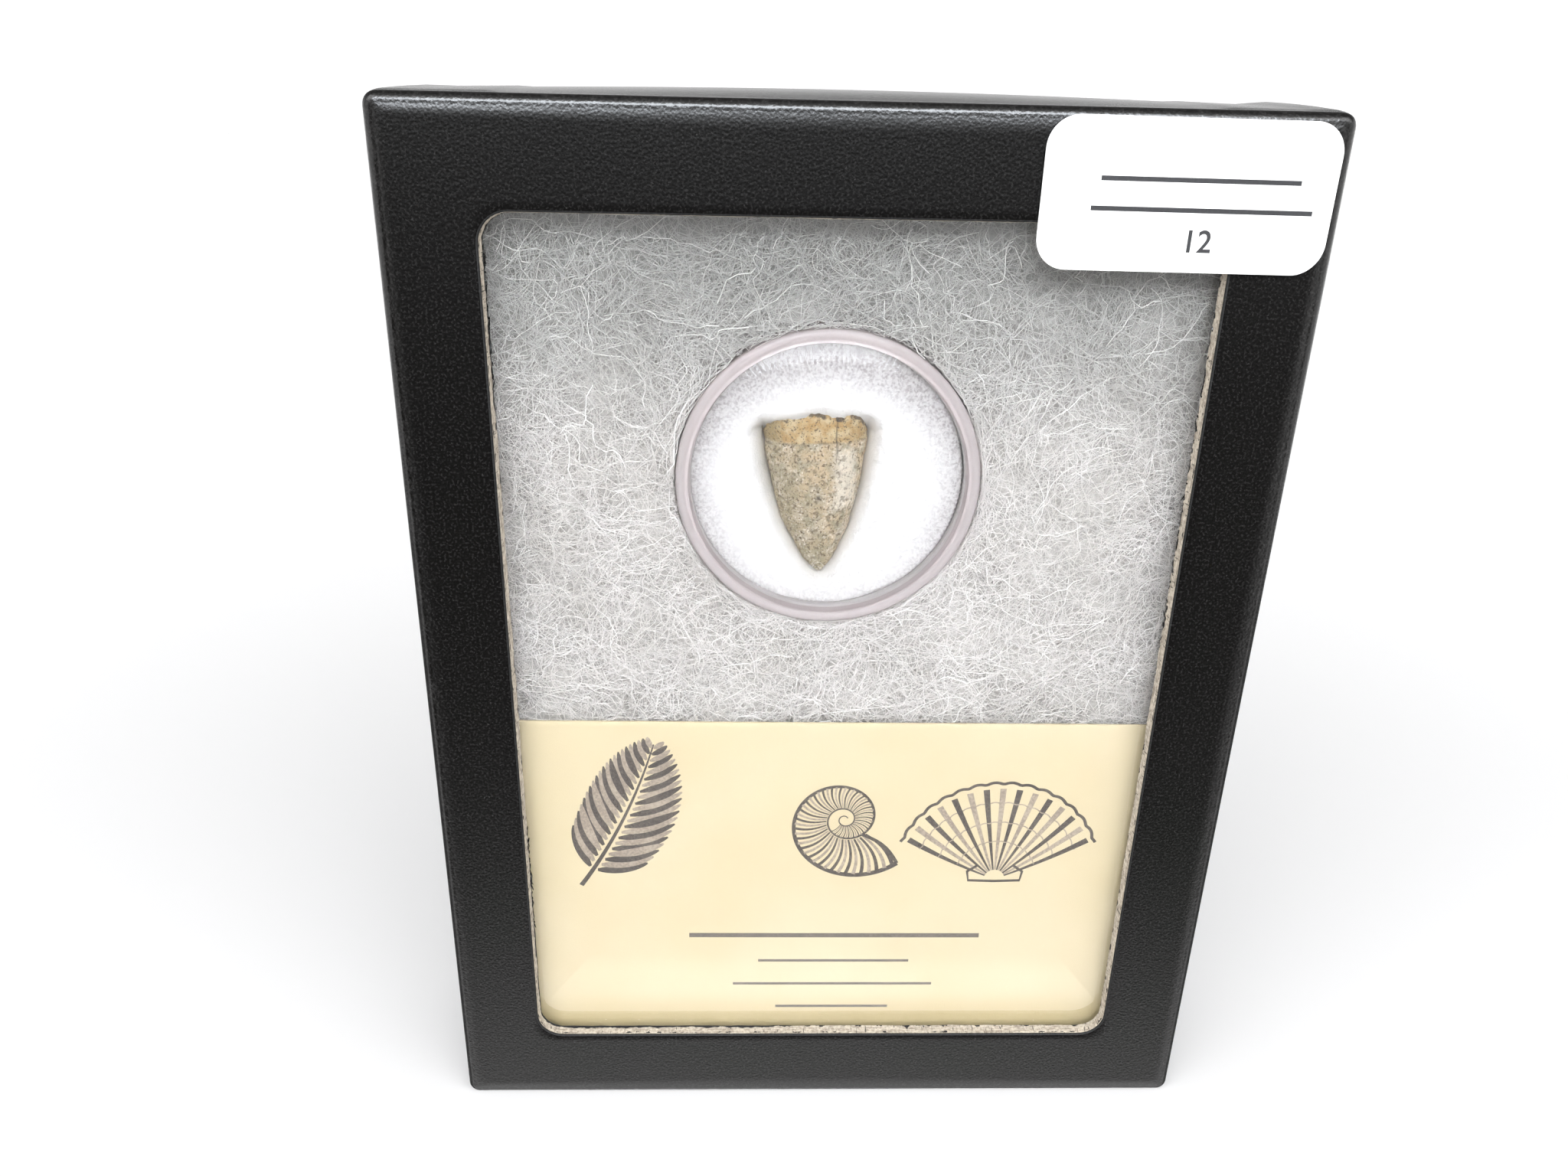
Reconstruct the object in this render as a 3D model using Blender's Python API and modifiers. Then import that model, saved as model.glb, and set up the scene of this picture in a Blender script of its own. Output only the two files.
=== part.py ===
"""A fossil crocodile tooth in a small glass-fronted specimen box.

A black wrapped-board lid with a window is pushed over a shallow tray. Wadding fills the tray and
presses a round clear jar and a label card against the glass. Inside the jar the tooth lies tip down,
half sunk in a white foam disc. The box stands on its lower edge with the window facing -Y, and the
origin is the middle of its footprint. A depth is a distance behind the lid's front face, along +Y.
"""

import math

import bmesh
import bpy
from mathutils import Matrix, Vector

MM = 0.001
GAP = 0.3 * MM
TINY = 0.01 * MM
OVERSHOOT = 2.0 * MM

# Box
BOX_WIDTH = 83.1 * MM
BOX_HEIGHT = 109.3 * MM
BOX_DEPTH = 19.05 * MM
BOARD = 1.3 * MM
LID_DEPTH = 18.0 * MM
LID_EDGE_RADIUS = 0.9 * MM
TRAY_EDGE_RADIUS = 0.5 * MM

# Window
WINDOW_WIDTH = 65.0 * MM
WINDOW_HEIGHT = 90.6 * MM
WINDOW_X = -0.15 * MM
WINDOW_Z = 54.5 * MM
WINDOW_CORNER = 2.6 * MM
GLASS_THICKNESS = 2.0 * MM

# Label card and corner sticker
CARD_WIDTH = 76.2 * MM
CARD_TOP = 48.6 * MM
CARD_THICKNESS = 0.3 * MM
STICKER_WIDTH = 25.3 * MM
STICKER_HEIGHT = 12.6 * MM
STICKER_THICKNESS = 0.2 * MM
STICKER_CORNER = 2.7 * MM
STICKER_X = 27.8 * MM
STICKER_Z = 102.35 * MM
STICKER_TILT = math.radians(0.4)

# Jar
JAR_X = -1.7 * MM
JAR_Z = 75.1 * MM
JAR_RADIUS = 14.75 * MM
JAR_DEPTH = 11.4 * MM
JAR_LID_WALL = 0.6 * MM
JAR_LID_TOP = 1.0 * MM
JAR_LID_SKIRT = 4.6 * MM
JAR_CUP_WALL = 0.55 * MM
JAR_CUP_FLOOR = 1.0 * MM
JAR_CHAMFER = 0.3 * MM
TURN_STEPS = 64

# Foam disc in the jar
FOAM_RADIUS = 12.9 * MM
FOAM_FRONT = 6.2 * MM
FOAM_SHIFT_X = -0.12 * MM
FOAM_SHIFT_Z = -0.1 * MM
FOAM_CHAMFER = 0.4 * MM

# Tooth: s runs from 0 at the tip to 1 at the broken base
TOOTH_X = -3.0 * MM
TOOTH_TOP = 81.4 * MM
TOOTH_LENGTH = 16.6 * MM
TOOTH_HALF_WIDTH = 5.2 * MM
TOOTH_HALF_THICKNESS = 3.4 * MM
TOOTH_DEPTH = 8.7 * MM
TOOTH_TIP_X = 0.9 * MM
TOOTH_TIP_FORWARD = 1.7 * MM
TOOTH_FULLNESS = 1.95
TOOTH_BLUNTNESS = 0.72
TOOTH_SIDES = 32
TOOTH_RINGS = 24
ROOT_SHARE = 0.17
ROOT_LEDGE = 0.12 * MM
BASE_RINGS_SHARE = 0.21
BASE_HOLLOW = 0.8 * MM
BASE_SHOULDER = 1.3 * MM
CHIP_HEIGHT = 0.22 * MM

# Hollow that the tooth has pressed into the foam
HOLLOW_SPREAD = 1.7 * MM
HOLLOW_FORWARD = 2.7 * MM
HOLLOW_DOME = 1.6 * MM

# Depths that follow from the sizes above
GLASS_FRONT = BOARD + GAP
GLASS_BACK = GLASS_FRONT + GLASS_THICKNESS
CONTENT_FRONT = GLASS_BACK + GAP
WALL_STACK = 2 * (BOARD + GAP)
TRAY_MARGIN = BOARD + GAP
WADDING_FRONT = CONTENT_FRONT + 0.2 * MM
WADDING_BACK = BOX_DEPTH - BOARD - GAP
JAR_BACK = CONTENT_FRONT + JAR_DEPTH
FOAM_BACK = JAR_BACK - JAR_CUP_FLOOR - GAP
STICKER_PROUD = GAP + STICKER_THICKNESS
FRONT_Y = (STICKER_PROUD - BOX_DEPTH) / 2


def clear_scene():
    """Remove every object that the scene starts with."""
    for obj in list(bpy.data.objects):
        bpy.data.objects.remove(obj, do_unlink=True)


def new_collection(name):
    """A collection linked to the scene."""
    collection = bpy.data.collections.new(name)
    bpy.context.scene.collection.children.link(collection)
    return collection


def new_material(name, colour, roughness, transmission=0.0):
    """A Principled material, see-through where transmission is above zero."""
    material = bpy.data.materials.new(name)
    material.use_nodes = True
    shader = material.node_tree.nodes["Principled BSDF"]
    shader.inputs["Base Color"].default_value = (*colour, 1.0)
    shader.inputs["Roughness"].default_value = roughness
    shader.inputs["Metallic"].default_value = 0.0
    shader.inputs["Transmission Weight"].default_value = transmission
    material.diffuse_color = (*colour, 1.0)
    material.roughness = roughness
    return material


def new_object(name, bm, centre, collection, material=None):
    """An object made of a bmesh modelled around its own origin, placed at centre."""
    mesh = bpy.data.meshes.new(name)
    bm.normal_update()
    bm.to_mesh(mesh)
    bm.free()
    obj = bpy.data.objects.new(name, mesh)
    obj.location = centre
    collection.objects.link(obj)
    if material:
        mesh.materials.append(material)
    return obj


def at_depth(x, depth, z):
    """The world point at x and z, a given depth behind the lid's front face."""
    return Vector((x, FRONT_Y + depth, z))


def box_shape(width, depth, height):
    """A box round the origin."""
    bm = bmesh.new()
    size = Matrix.Diagonal((width, depth, height, 1.0))
    bmesh.ops.create_cube(bm, size=1.0, matrix=size)
    return bm


def round_edges(bm, chosen, radius, segments):
    """Round the chosen edges of a shape."""
    edges = [edge for edge in bm.edges if chosen(edge)]
    bmesh.ops.bevel(bm, geom=edges, offset=radius, offset_type="OFFSET", segments=segments,
                    profile=0.5, affect="EDGES")


def runs_along_y(edge):
    """Whether an edge runs through the depth of the box."""
    a, b = (vert.co for vert in edge.verts)
    return abs(a.y - b.y) > TINY


def plate_shape(width, thickness, height, corner, segments):
    """A plate facing -Y whose four corners are rounded."""
    bm = box_shape(width, thickness, height)
    round_edges(bm, runs_along_y, corner, segments)
    return bm


def as_cutter(obj):
    """Show a cutter as a wire, and leave it out of renders."""
    obj.display_type = "WIRE"
    obj.hide_render = True
    return obj


def cut(obj, cutter):
    """Take a cutter's volume out of an object."""
    modifier = obj.modifiers.new("cut_" + cutter.name, "BOOLEAN")
    modifier.operation = "DIFFERENCE"
    modifier.solver = "EXACT"
    modifier.object = cutter


def cutter_box(name, corner_low, corner_high, cutters):
    """A plain box cutter between two world corners."""
    size = corner_high - corner_low
    middle = (corner_low + corner_high) / 2
    return as_cutter(new_object(name, box_shape(*size), middle, cutters))


def turned_piece(name, profile, centre, collection, material=None):
    """A piece turned from (radius, height) points, its axis along -Y and height growing to the front.

    The profile runs from the axis to the axis, and down its outer side.
    """
    bm = bmesh.new()
    verts = [bm.verts.new((radius, 0.0, height)) for radius, height in profile]
    for start, end in zip(verts, verts[1:]):
        bm.edges.new((start, end))
    obj = new_object(name, bm, centre, collection, material)
    obj.rotation_euler = (math.radians(90.0), 0.0, 0.0)
    screw = obj.modifiers.new("turn", "SCREW")
    screw.steps = TURN_STEPS
    screw.render_steps = TURN_STEPS
    screw.use_merge_vertices = True
    screw.merge_threshold = TINY
    return obj


def build_lid(parts, cutters, material):
    """The lid: a wrapped board with a window and four side walls, open at the back."""
    bm = box_shape(BOX_WIDTH, LID_DEPTH, BOX_HEIGHT)
    back = LID_DEPTH / 2
    round_edges(bm, lambda edge: any(v.co.y < back - TINY for v in edge.verts), LID_EDGE_RADIUS, 4)
    lid = new_object("lid", bm, at_depth(0.0, LID_DEPTH / 2, BOX_HEIGHT / 2), parts, material)

    inner = BOX_WIDTH / 2 - BOARD
    low = at_depth(-inner, BOARD, BOARD)
    high = at_depth(inner, LID_DEPTH + OVERSHOOT, BOX_HEIGHT - BOARD)
    cut(lid, cutter_box("lid_inside", low, high, cutters))

    shape = plate_shape(WINDOW_WIDTH, 2 * OVERSHOOT, WINDOW_HEIGHT, WINDOW_CORNER, 6)
    place = at_depth(WINDOW_X, 0.0, WINDOW_Z)
    cut(lid, as_cutter(new_object("window_opening", shape, place, cutters)))
    return lid


def build_tray(parts, cutters, material):
    """The tray inside the lid: a back board and four walls that stop just behind the glass."""
    width = BOX_WIDTH - 2 * TRAY_MARGIN
    height = BOX_HEIGHT - 2 * TRAY_MARGIN
    depth = BOX_DEPTH - CONTENT_FRONT
    bm = box_shape(width, depth, height)
    front = -depth / 2
    round_edges(bm, lambda edge: any(v.co.y > front + TINY for v in edge.verts), TRAY_EDGE_RADIUS, 2)
    centre = at_depth(0.0, CONTENT_FRONT + depth / 2, BOX_HEIGHT / 2)
    tray = new_object("tray", bm, centre, parts, material)

    inner_x = width / 2 - BOARD
    inner_z = height / 2 - BOARD
    low = at_depth(-inner_x, CONTENT_FRONT - OVERSHOOT, BOX_HEIGHT / 2 - inner_z)
    high = at_depth(inner_x, BOX_DEPTH - BOARD, BOX_HEIGHT / 2 + inner_z)
    cut(tray, cutter_box("tray_inside", low, high, cutters))
    return tray


def build_glass(parts, material):
    """The sheet of glass held between the lid's board and the tray's walls."""
    width = BOX_WIDTH - 2 * TRAY_MARGIN
    height = BOX_HEIGHT - 2 * TRAY_MARGIN
    centre = at_depth(0.0, GLASS_FRONT + GLASS_THICKNESS / 2, BOX_HEIGHT / 2)
    return new_object("window_glass", box_shape(width, GLASS_THICKNESS, height), centre, parts, material)


def build_wadding(parts, cutters, material):
    """The block of fibre wadding, with a pocket for the jar and a step for the card."""
    width = BOX_WIDTH - 2 * (WALL_STACK)
    height = BOX_HEIGHT - 2 * (WALL_STACK)
    depth = WADDING_BACK - WADDING_FRONT
    bm = box_shape(width, depth, height)
    back = depth / 2
    round_edges(bm, lambda edge: any(v.co.y < back - TINY for v in edge.verts), LID_EDGE_RADIUS, 2)
    centre = at_depth(0.0, WADDING_FRONT + depth / 2, BOX_HEIGHT / 2)
    wadding = new_object("wadding", bm, centre, parts, material)

    low = at_depth(-BOX_WIDTH / 2, 0.0, 0.0)
    high = at_depth(BOX_WIDTH / 2, CONTENT_FRONT + CARD_THICKNESS + GAP, CARD_TOP + GAP)
    cut(wadding, cutter_box("card_step", low, high, cutters))

    pocket_radius = JAR_RADIUS + GAP
    pocket_floor = -(JAR_DEPTH + GAP)
    profile = [
        (0.0, OVERSHOOT),
        (pocket_radius, OVERSHOOT),
        (pocket_radius, pocket_floor),
        (0.0, pocket_floor),
    ]
    pocket = turned_piece("jar_pocket", profile, at_depth(JAR_X, CONTENT_FRONT, JAR_Z), cutters)
    cut(wadding, as_cutter(pocket))
    return wadding


def build_jar_lid(parts, material):
    """The jar's clear lid: a disc with a short skirt round the cup."""
    inside = JAR_RADIUS - JAR_LID_WALL
    profile = [
        (0.0, 0.0),
        (JAR_RADIUS - JAR_CHAMFER, 0.0),
        (JAR_RADIUS, -JAR_CHAMFER),
        (JAR_RADIUS, -JAR_LID_SKIRT),
        (inside, -JAR_LID_SKIRT),
        (inside, -JAR_LID_TOP),
        (0.0, -JAR_LID_TOP),
    ]
    return turned_piece("jar_lid", profile, at_depth(JAR_X, CONTENT_FRONT, JAR_Z), parts, material)


def build_jar_cup(parts, material):
    """The jar's clear cup, open to the front under its lid."""
    rim = -(JAR_LID_TOP + GAP)
    outside = JAR_RADIUS - JAR_LID_WALL - GAP
    inside = outside - JAR_CUP_WALL
    floor = -(JAR_DEPTH - JAR_CUP_FLOOR)
    profile = [
        (0.0, floor),
        (inside, floor),
        (inside, rim),
        (outside, rim),
        (outside, -(JAR_DEPTH - JAR_CHAMFER)),
        (outside - JAR_CHAMFER, -JAR_DEPTH),
        (0.0, -JAR_DEPTH),
    ]
    return turned_piece("jar_cup", profile, at_depth(JAR_X, CONTENT_FRONT, JAR_Z), parts, material)


def crown_width(s):
    """The tooth's width at s as a share of its width at the base."""
    return (1.0 - (1.0 - s) ** TOOTH_FULLNESS) ** TOOTH_BLUNTNESS


def rim_height(angle, reach):
    """How far the broken rim stands above the tooth's shoulder at an angle round the axis."""
    chips = math.sin(5.0 * angle + 0.7) + 0.6 * math.sin(11.0 * angle) + 0.4 * math.sin(17.0 * angle + 2.0)
    shoulder = -BASE_SHOULDER * abs(math.cos(angle)) ** 4
    return (shoulder + CHIP_HEIGHT * chips) * reach


def tooth_shape(spread=0.0, forward=0.0, dome=0.0, rough=True):
    """The tooth as a reshaped sphere: its lower rings are the crown, its upper ones the broken base.

    spread widens it all round, forward moves it towards the glass, dome rounds its upper end, and
    rough adds its ledge and chips.
    """
    bm = bmesh.new()
    bmesh.ops.create_uvsphere(bm, u_segments=TOOTH_SIDES, v_segments=TOOTH_RINGS, radius=1.0)
    for vert in bm.verts:
        angle = math.atan2(vert.co.y, vert.co.x)
        turn = math.acos(max(-1.0, min(1.0, vert.co.z))) / math.pi
        if turn < BASE_RINGS_SHARE:
            s = 1.0
            reach = turn / BASE_RINGS_SHARE
        else:
            s = ((1.0 - turn) / (1.0 - BASE_RINGS_SHARE)) ** 1.35
            reach = 1.0
        width = crown_width(s) * reach
        away = 1.0 - s
        x = TOOTH_X + TOOTH_TIP_X * away ** 2
        depth = TOOTH_DEPTH - TOOTH_TIP_FORWARD * away ** 1.5 - forward
        z = TOOTH_TOP - TOOTH_LENGTH * away
        swell = spread * reach * min(1.0, 4.0 * crown_width(s))
        if dome and s > 0.5:
            z += dome * math.sqrt(1.0 - reach ** 2)
        else:
            z += spread * (2.0 * s - 1.0) ** 3
        if rough:
            z -= BASE_HOLLOW * (1.0 - reach ** 2)
            z += rim_height(angle, reach) * max(0.0, 1.0 - 6.0 * away)
            swell += ROOT_LEDGE * reach if away > ROOT_SHARE else 0.0
        half_width = TOOTH_HALF_WIDTH * width + swell
        half_thickness = TOOTH_HALF_THICKNESS * width + swell
        vert.co = at_depth(x, depth, z)
        vert.co += Vector((half_width * math.cos(angle), half_thickness * math.sin(angle), 0.0))
    return bm


def build_tooth(parts, material):
    """The fossil tooth, one solid, tip down with its broken base up."""
    return new_object("tooth", tooth_shape(), (0.0, 0.0, 0.0), parts, material)


def build_foam(parts, cutters, material):
    """The white foam disc, with the hollow and the bed that hold the tooth."""
    front = 0.0
    back = -(FOAM_BACK - FOAM_FRONT)
    profile = [
        (0.0, front),
        (FOAM_RADIUS - FOAM_CHAMFER, front),
        (FOAM_RADIUS, front - FOAM_CHAMFER),
        (FOAM_RADIUS, back),
        (0.0, back),
    ]
    centre = at_depth(JAR_X + FOAM_SHIFT_X, FOAM_FRONT, JAR_Z + FOAM_SHIFT_Z)
    foam = turned_piece("foam_disc", profile, centre, parts, material)
    hollow = tooth_shape(spread=HOLLOW_SPREAD, forward=HOLLOW_FORWARD, dome=HOLLOW_DOME, rough=False)
    bed = tooth_shape(spread=GAP + ROOT_LEDGE, rough=False)
    for name, shape in (("pressed_hollow", hollow), ("tooth_bed", bed)):
        cut(foam, as_cutter(new_object(name, shape, (0.0, 0.0, 0.0), cutters)))
    return foam


def build_card(parts, material):
    """The label card that stands in the lower part of the tray, against the glass."""
    low_edge = WALL_STACK
    height = CARD_TOP - low_edge
    centre = at_depth(0.0, CONTENT_FRONT + CARD_THICKNESS / 2, low_edge + height / 2)
    return new_object("label_card", box_shape(CARD_WIDTH, CARD_THICKNESS, height), centre, parts, material)


def build_sticker(parts, material):
    """The white sticker on the lid's upper right corner."""
    shape = plate_shape(STICKER_WIDTH, STICKER_THICKNESS, STICKER_HEIGHT, STICKER_CORNER, 5)
    centre = at_depth(STICKER_X, -(GAP + STICKER_THICKNESS / 2), STICKER_Z)
    sticker = new_object("corner_sticker", shape, centre, parts, material)
    sticker.rotation_euler = (0.0, STICKER_TILT, 0.0)
    return sticker


def shade_round_pieces(pieces):
    """Shade turned and organic pieces smooth, and keep their sharp edges."""
    for piece in pieces:
        piece.data.shade_smooth()
        piece.data.set_sharp_from_angle(angle=math.radians(35.0))


def main():
    """Build every piece, and hang them all on one empty."""
    clear_scene()
    parts = new_collection("specimen_box")
    cutters = new_collection("specimen_box_cutters")

    wrap = new_material("black_wrap", (0.020, 0.019, 0.018), 0.42)
    board = new_material("tray_wrap", (0.030, 0.029, 0.028), 0.55)
    glass = new_material("glass", (0.97, 0.99, 0.98), 0.03, transmission=1.0)
    fibre = new_material("fibre", (0.82, 0.82, 0.80), 0.90)
    clear = new_material("clear_styrene", (0.93, 0.91, 0.96), 0.05, transmission=1.0)
    foam = new_material("white_foam", (0.90, 0.90, 0.89), 0.95)
    fossil = new_material("fossil", (0.45, 0.37, 0.25), 0.75)
    card = new_material("cream_card", (0.88, 0.81, 0.55), 0.70)
    paper = new_material("white_paper", (0.93, 0.93, 0.93), 0.60)

    lid = build_lid(parts, cutters, wrap)
    tray = build_tray(parts, cutters, board)
    window = build_glass(parts, glass)
    wadding = build_wadding(parts, cutters, fibre)
    jar_lid = build_jar_lid(parts, clear)
    jar_cup = build_jar_cup(parts, clear)
    foam_disc = build_foam(parts, cutters, foam)
    tooth = build_tooth(parts, fossil)
    label = build_card(parts, card)
    sticker = build_sticker(parts, paper)
    shade_round_pieces((jar_lid, jar_cup, foam_disc, tooth))

    frame = bpy.data.objects.new("specimen_box_frame", None)
    parts.objects.link(frame)
    for piece in (lid, tray, window, wadding, jar_lid, jar_cup, foam_disc, tooth, label, sticker):
        piece.parent = frame


main()
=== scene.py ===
"""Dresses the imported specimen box: a fossil tooth in foam, in a clear jar, behind a glass front.

The box stands on its lower edge with the window facing -Y. Every piece is built in the frame of the
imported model, in metres, and a depth is a distance behind the front face of the lid, along +Y.
"""

from __future__ import annotations

import logging
import math
from dataclasses import dataclass
from enum import Enum
from functools import partial
from typing import Any, Callable, Sequence

import bmesh
import bpy
import numpy as np
from mathutils import Matrix, Vector, noise


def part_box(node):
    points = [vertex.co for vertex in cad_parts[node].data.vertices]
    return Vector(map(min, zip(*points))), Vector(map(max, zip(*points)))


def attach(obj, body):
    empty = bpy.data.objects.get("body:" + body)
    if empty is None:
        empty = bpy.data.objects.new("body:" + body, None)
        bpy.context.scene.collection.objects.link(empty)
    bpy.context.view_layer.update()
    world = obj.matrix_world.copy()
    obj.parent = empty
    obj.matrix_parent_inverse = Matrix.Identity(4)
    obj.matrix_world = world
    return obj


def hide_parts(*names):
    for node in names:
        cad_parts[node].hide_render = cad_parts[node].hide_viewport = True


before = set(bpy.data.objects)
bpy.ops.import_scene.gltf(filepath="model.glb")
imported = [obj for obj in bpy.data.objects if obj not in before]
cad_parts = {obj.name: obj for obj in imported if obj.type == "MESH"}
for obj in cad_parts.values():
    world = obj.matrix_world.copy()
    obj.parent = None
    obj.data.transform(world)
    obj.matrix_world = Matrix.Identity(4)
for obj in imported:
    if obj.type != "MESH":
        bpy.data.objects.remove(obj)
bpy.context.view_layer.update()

LOG = logging.getLogger("specimen_box")
MM = 0.001
BODY = "root"

# Camera, from a pinhole fit to the four corners of the lid's front
CAMERA_PLACE = (-9.597 * MM, -114.778 * MM, 111.253 * MM)
CAMERA_LENS_PIXELS = 1550.0
CAMERA_PITCH = math.radians(-23.4432)
CAMERA_YAW = math.radians(-2.0287)
CAMERA_ROLL = math.radians(1.3884)
PICTURE_WIDTH_PIXELS = 2048
SENSOR_WIDTH = 36.0

# Heights between which the wadding's colour is painted darker, as painted shade under the lid's upper edge
SHADE_START, SHADE_FULL = 75 * MM, 97 * MM

Array = np.ndarray
Piece = bpy.types.Object
Point = tuple[float, float]
Triple = tuple[float, float, float]
Colour = Triple


def paint(code: str) -> Colour:
    """A colour from its hexadecimal code, as linear light.

    Args:
        code: six hexadecimal digits.

    Returns:
        Red, green and blue from 0 to 1.
    """
    shares = [int(code[i:i + 2], 16) / 255 for i in (0, 2, 4)]
    linear = [((share + 0.055) / 1.055) ** 2.4 if share > 0.04045 else share / 12.92 for share in shares]
    return linear[0], linear[1], linear[2]


class Tree:
    """A node tree that is filled through one node method and through maths on its sockets."""

    def __init__(self, nodes: bpy.types.NodeTree) -> None:
        """Fill the given node tree."""
        self.tree = nodes

    def node(self, kind: str, settings: dict[str, Any] | None = None,
             sockets: dict[str | int, Any] | None = None, out: str | int = 0) -> SocketExpr:
        """Add a node.

        Args:
            kind: the node's type.
            settings: its own options, which are set first.
            sockets: a value or a link for each named or numbered input.
            out: the output that is wanted.

        Returns:
            The wanted output, or the node's place in the tree if it has none.
        """
        made = self.tree.nodes.new(kind)
        for option, value in (settings or {}).items():
            setattr(made, option, value)
        for key, value in (sockets or {}).items():
            self.feed(made.inputs[key], value)
        return wrap(self, made.outputs[out] if len(made.outputs) else made.inputs[0])

    def feed(self, socket: bpy.types.NodeSocket, value: Any) -> None:
        """Give an input a link, if the value is a socket, or else a plain value.

        Args:
            socket: the input.
            value: a SocketExpr, a number, a colour or a vector.
        """
        if isinstance(value, SocketExpr):
            self.tree.links.new(value.socket, socket)
        elif socket.type == "RGBA" and len(value) == 3:
            socket.default_value = (*value, 1.0)
        else:
            socket.default_value = value

    def maths(self, operation: str, *values: Any) -> SocketExpr:
        """Add a Math node on numbers."""
        return self.node("ShaderNodeMath", {"operation": operation}, dict(enumerate(values)))

    def vector_maths(self, operation: str, *values: Any, out: int = 0) -> SocketExpr:
        """Add a Vector Math node."""
        return self.node("ShaderNodeVectorMath", {"operation": operation}, dict(enumerate(values)), out)

    def blend(self, share: Any, low: Any, high: Any) -> SocketExpr:
        """Mix two colours, by how much of the second is taken."""
        return self.node("ShaderNodeMix", {"data_type": "RGBA"}, {0: share, 6: low, 7: high}, out=2)

    def join(self, x: Any, y: Any, z: Any) -> SocketExpr:
        """A vector from three numbers."""
        return self.node("ShaderNodeCombineXYZ", {}, {0: x, 1: y, 2: z})


class SocketExpr:
    """An output socket holding a number; Python's operators on it add Math nodes."""

    def __init__(self, tree: Tree, socket: bpy.types.NodeSocket) -> None:
        """Wrap a socket of a tree."""
        self.tree = tree
        self.socket = socket

    def other(self, out: str | int) -> SocketExpr:
        """Another output of the same node."""
        return wrap(self.tree, self.socket.node.outputs[out])

    def __add__(self, value: Any) -> SocketExpr:
        """This plus a value."""
        return self.tree.maths("ADD", self, value)

    def __radd__(self, value: Any) -> SocketExpr:
        """A value plus this."""
        return self.tree.maths("ADD", value, self)

    def __sub__(self, value: Any) -> SocketExpr:
        """This less a value."""
        return self.tree.maths("SUBTRACT", self, value)

    def __rsub__(self, value: Any) -> SocketExpr:
        """A value less this."""
        return self.tree.maths("SUBTRACT", value, self)

    def __mul__(self, value: Any) -> SocketExpr:
        """This times a value."""
        return self.tree.maths("MULTIPLY", self, value)

    def __rmul__(self, value: Any) -> SocketExpr:
        """A value times this."""
        return self.tree.maths("MULTIPLY", value, self)

    def __truediv__(self, value: Any) -> SocketExpr:
        """This divided by a value."""
        return self.tree.maths("DIVIDE", self, value)

    def __pow__(self, value: Any) -> SocketExpr:
        """This to a power."""
        return self.tree.maths("POWER", self, value)

    def most(self, value: Any) -> SocketExpr:
        """The greater of this and a value."""
        return self.tree.maths("MAXIMUM", self, value)

    def least(self, value: Any) -> SocketExpr:
        """The smaller of this and a value."""
        return self.tree.maths("MINIMUM", self, value)

    def step(self, low: Any, high: Any, start: Any = 0.0, end: Any = 1.0) -> SocketExpr:
        """A smooth step.

        Args:
            low: where it starts to rise.
            high: where it has risen.
            start: its value below low.
            end: its value above high.

        Returns:
            A number from start to end.
        """
        settings = {"interpolation_type": "SMOOTHSTEP"}
        return self.tree.node("ShaderNodeMapRange", settings, {0: self, 1: low, 2: high, 3: start, 4: end})


class VectorExpr(SocketExpr):
    """An output socket holding a vector or a colour; operators on it add Vector Math nodes."""

    def __add__(self, value: Any) -> SocketExpr:
        """This plus a vector."""
        return self.tree.vector_maths("ADD", self, value)

    def __sub__(self, value: Any) -> SocketExpr:
        """This less a vector."""
        return self.tree.vector_maths("SUBTRACT", self, value)

    def __mul__(self, value: Any) -> SocketExpr:
        """This times a vector."""
        return self.tree.vector_maths("MULTIPLY", self, value)

    def axis(self, name: str) -> SocketExpr:
        """One of its numbers, named X, Y or Z."""
        return self.tree.node("ShaderNodeSeparateXYZ", {}, {0: self}, out=name)


def wrap(tree: Tree, socket: bpy.types.NodeSocket) -> SocketExpr:
    """A socket as an expression of its own kind."""
    return (VectorExpr if socket.type in ("VECTOR", "RGBA") else SocketExpr)(tree, socket)


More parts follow.
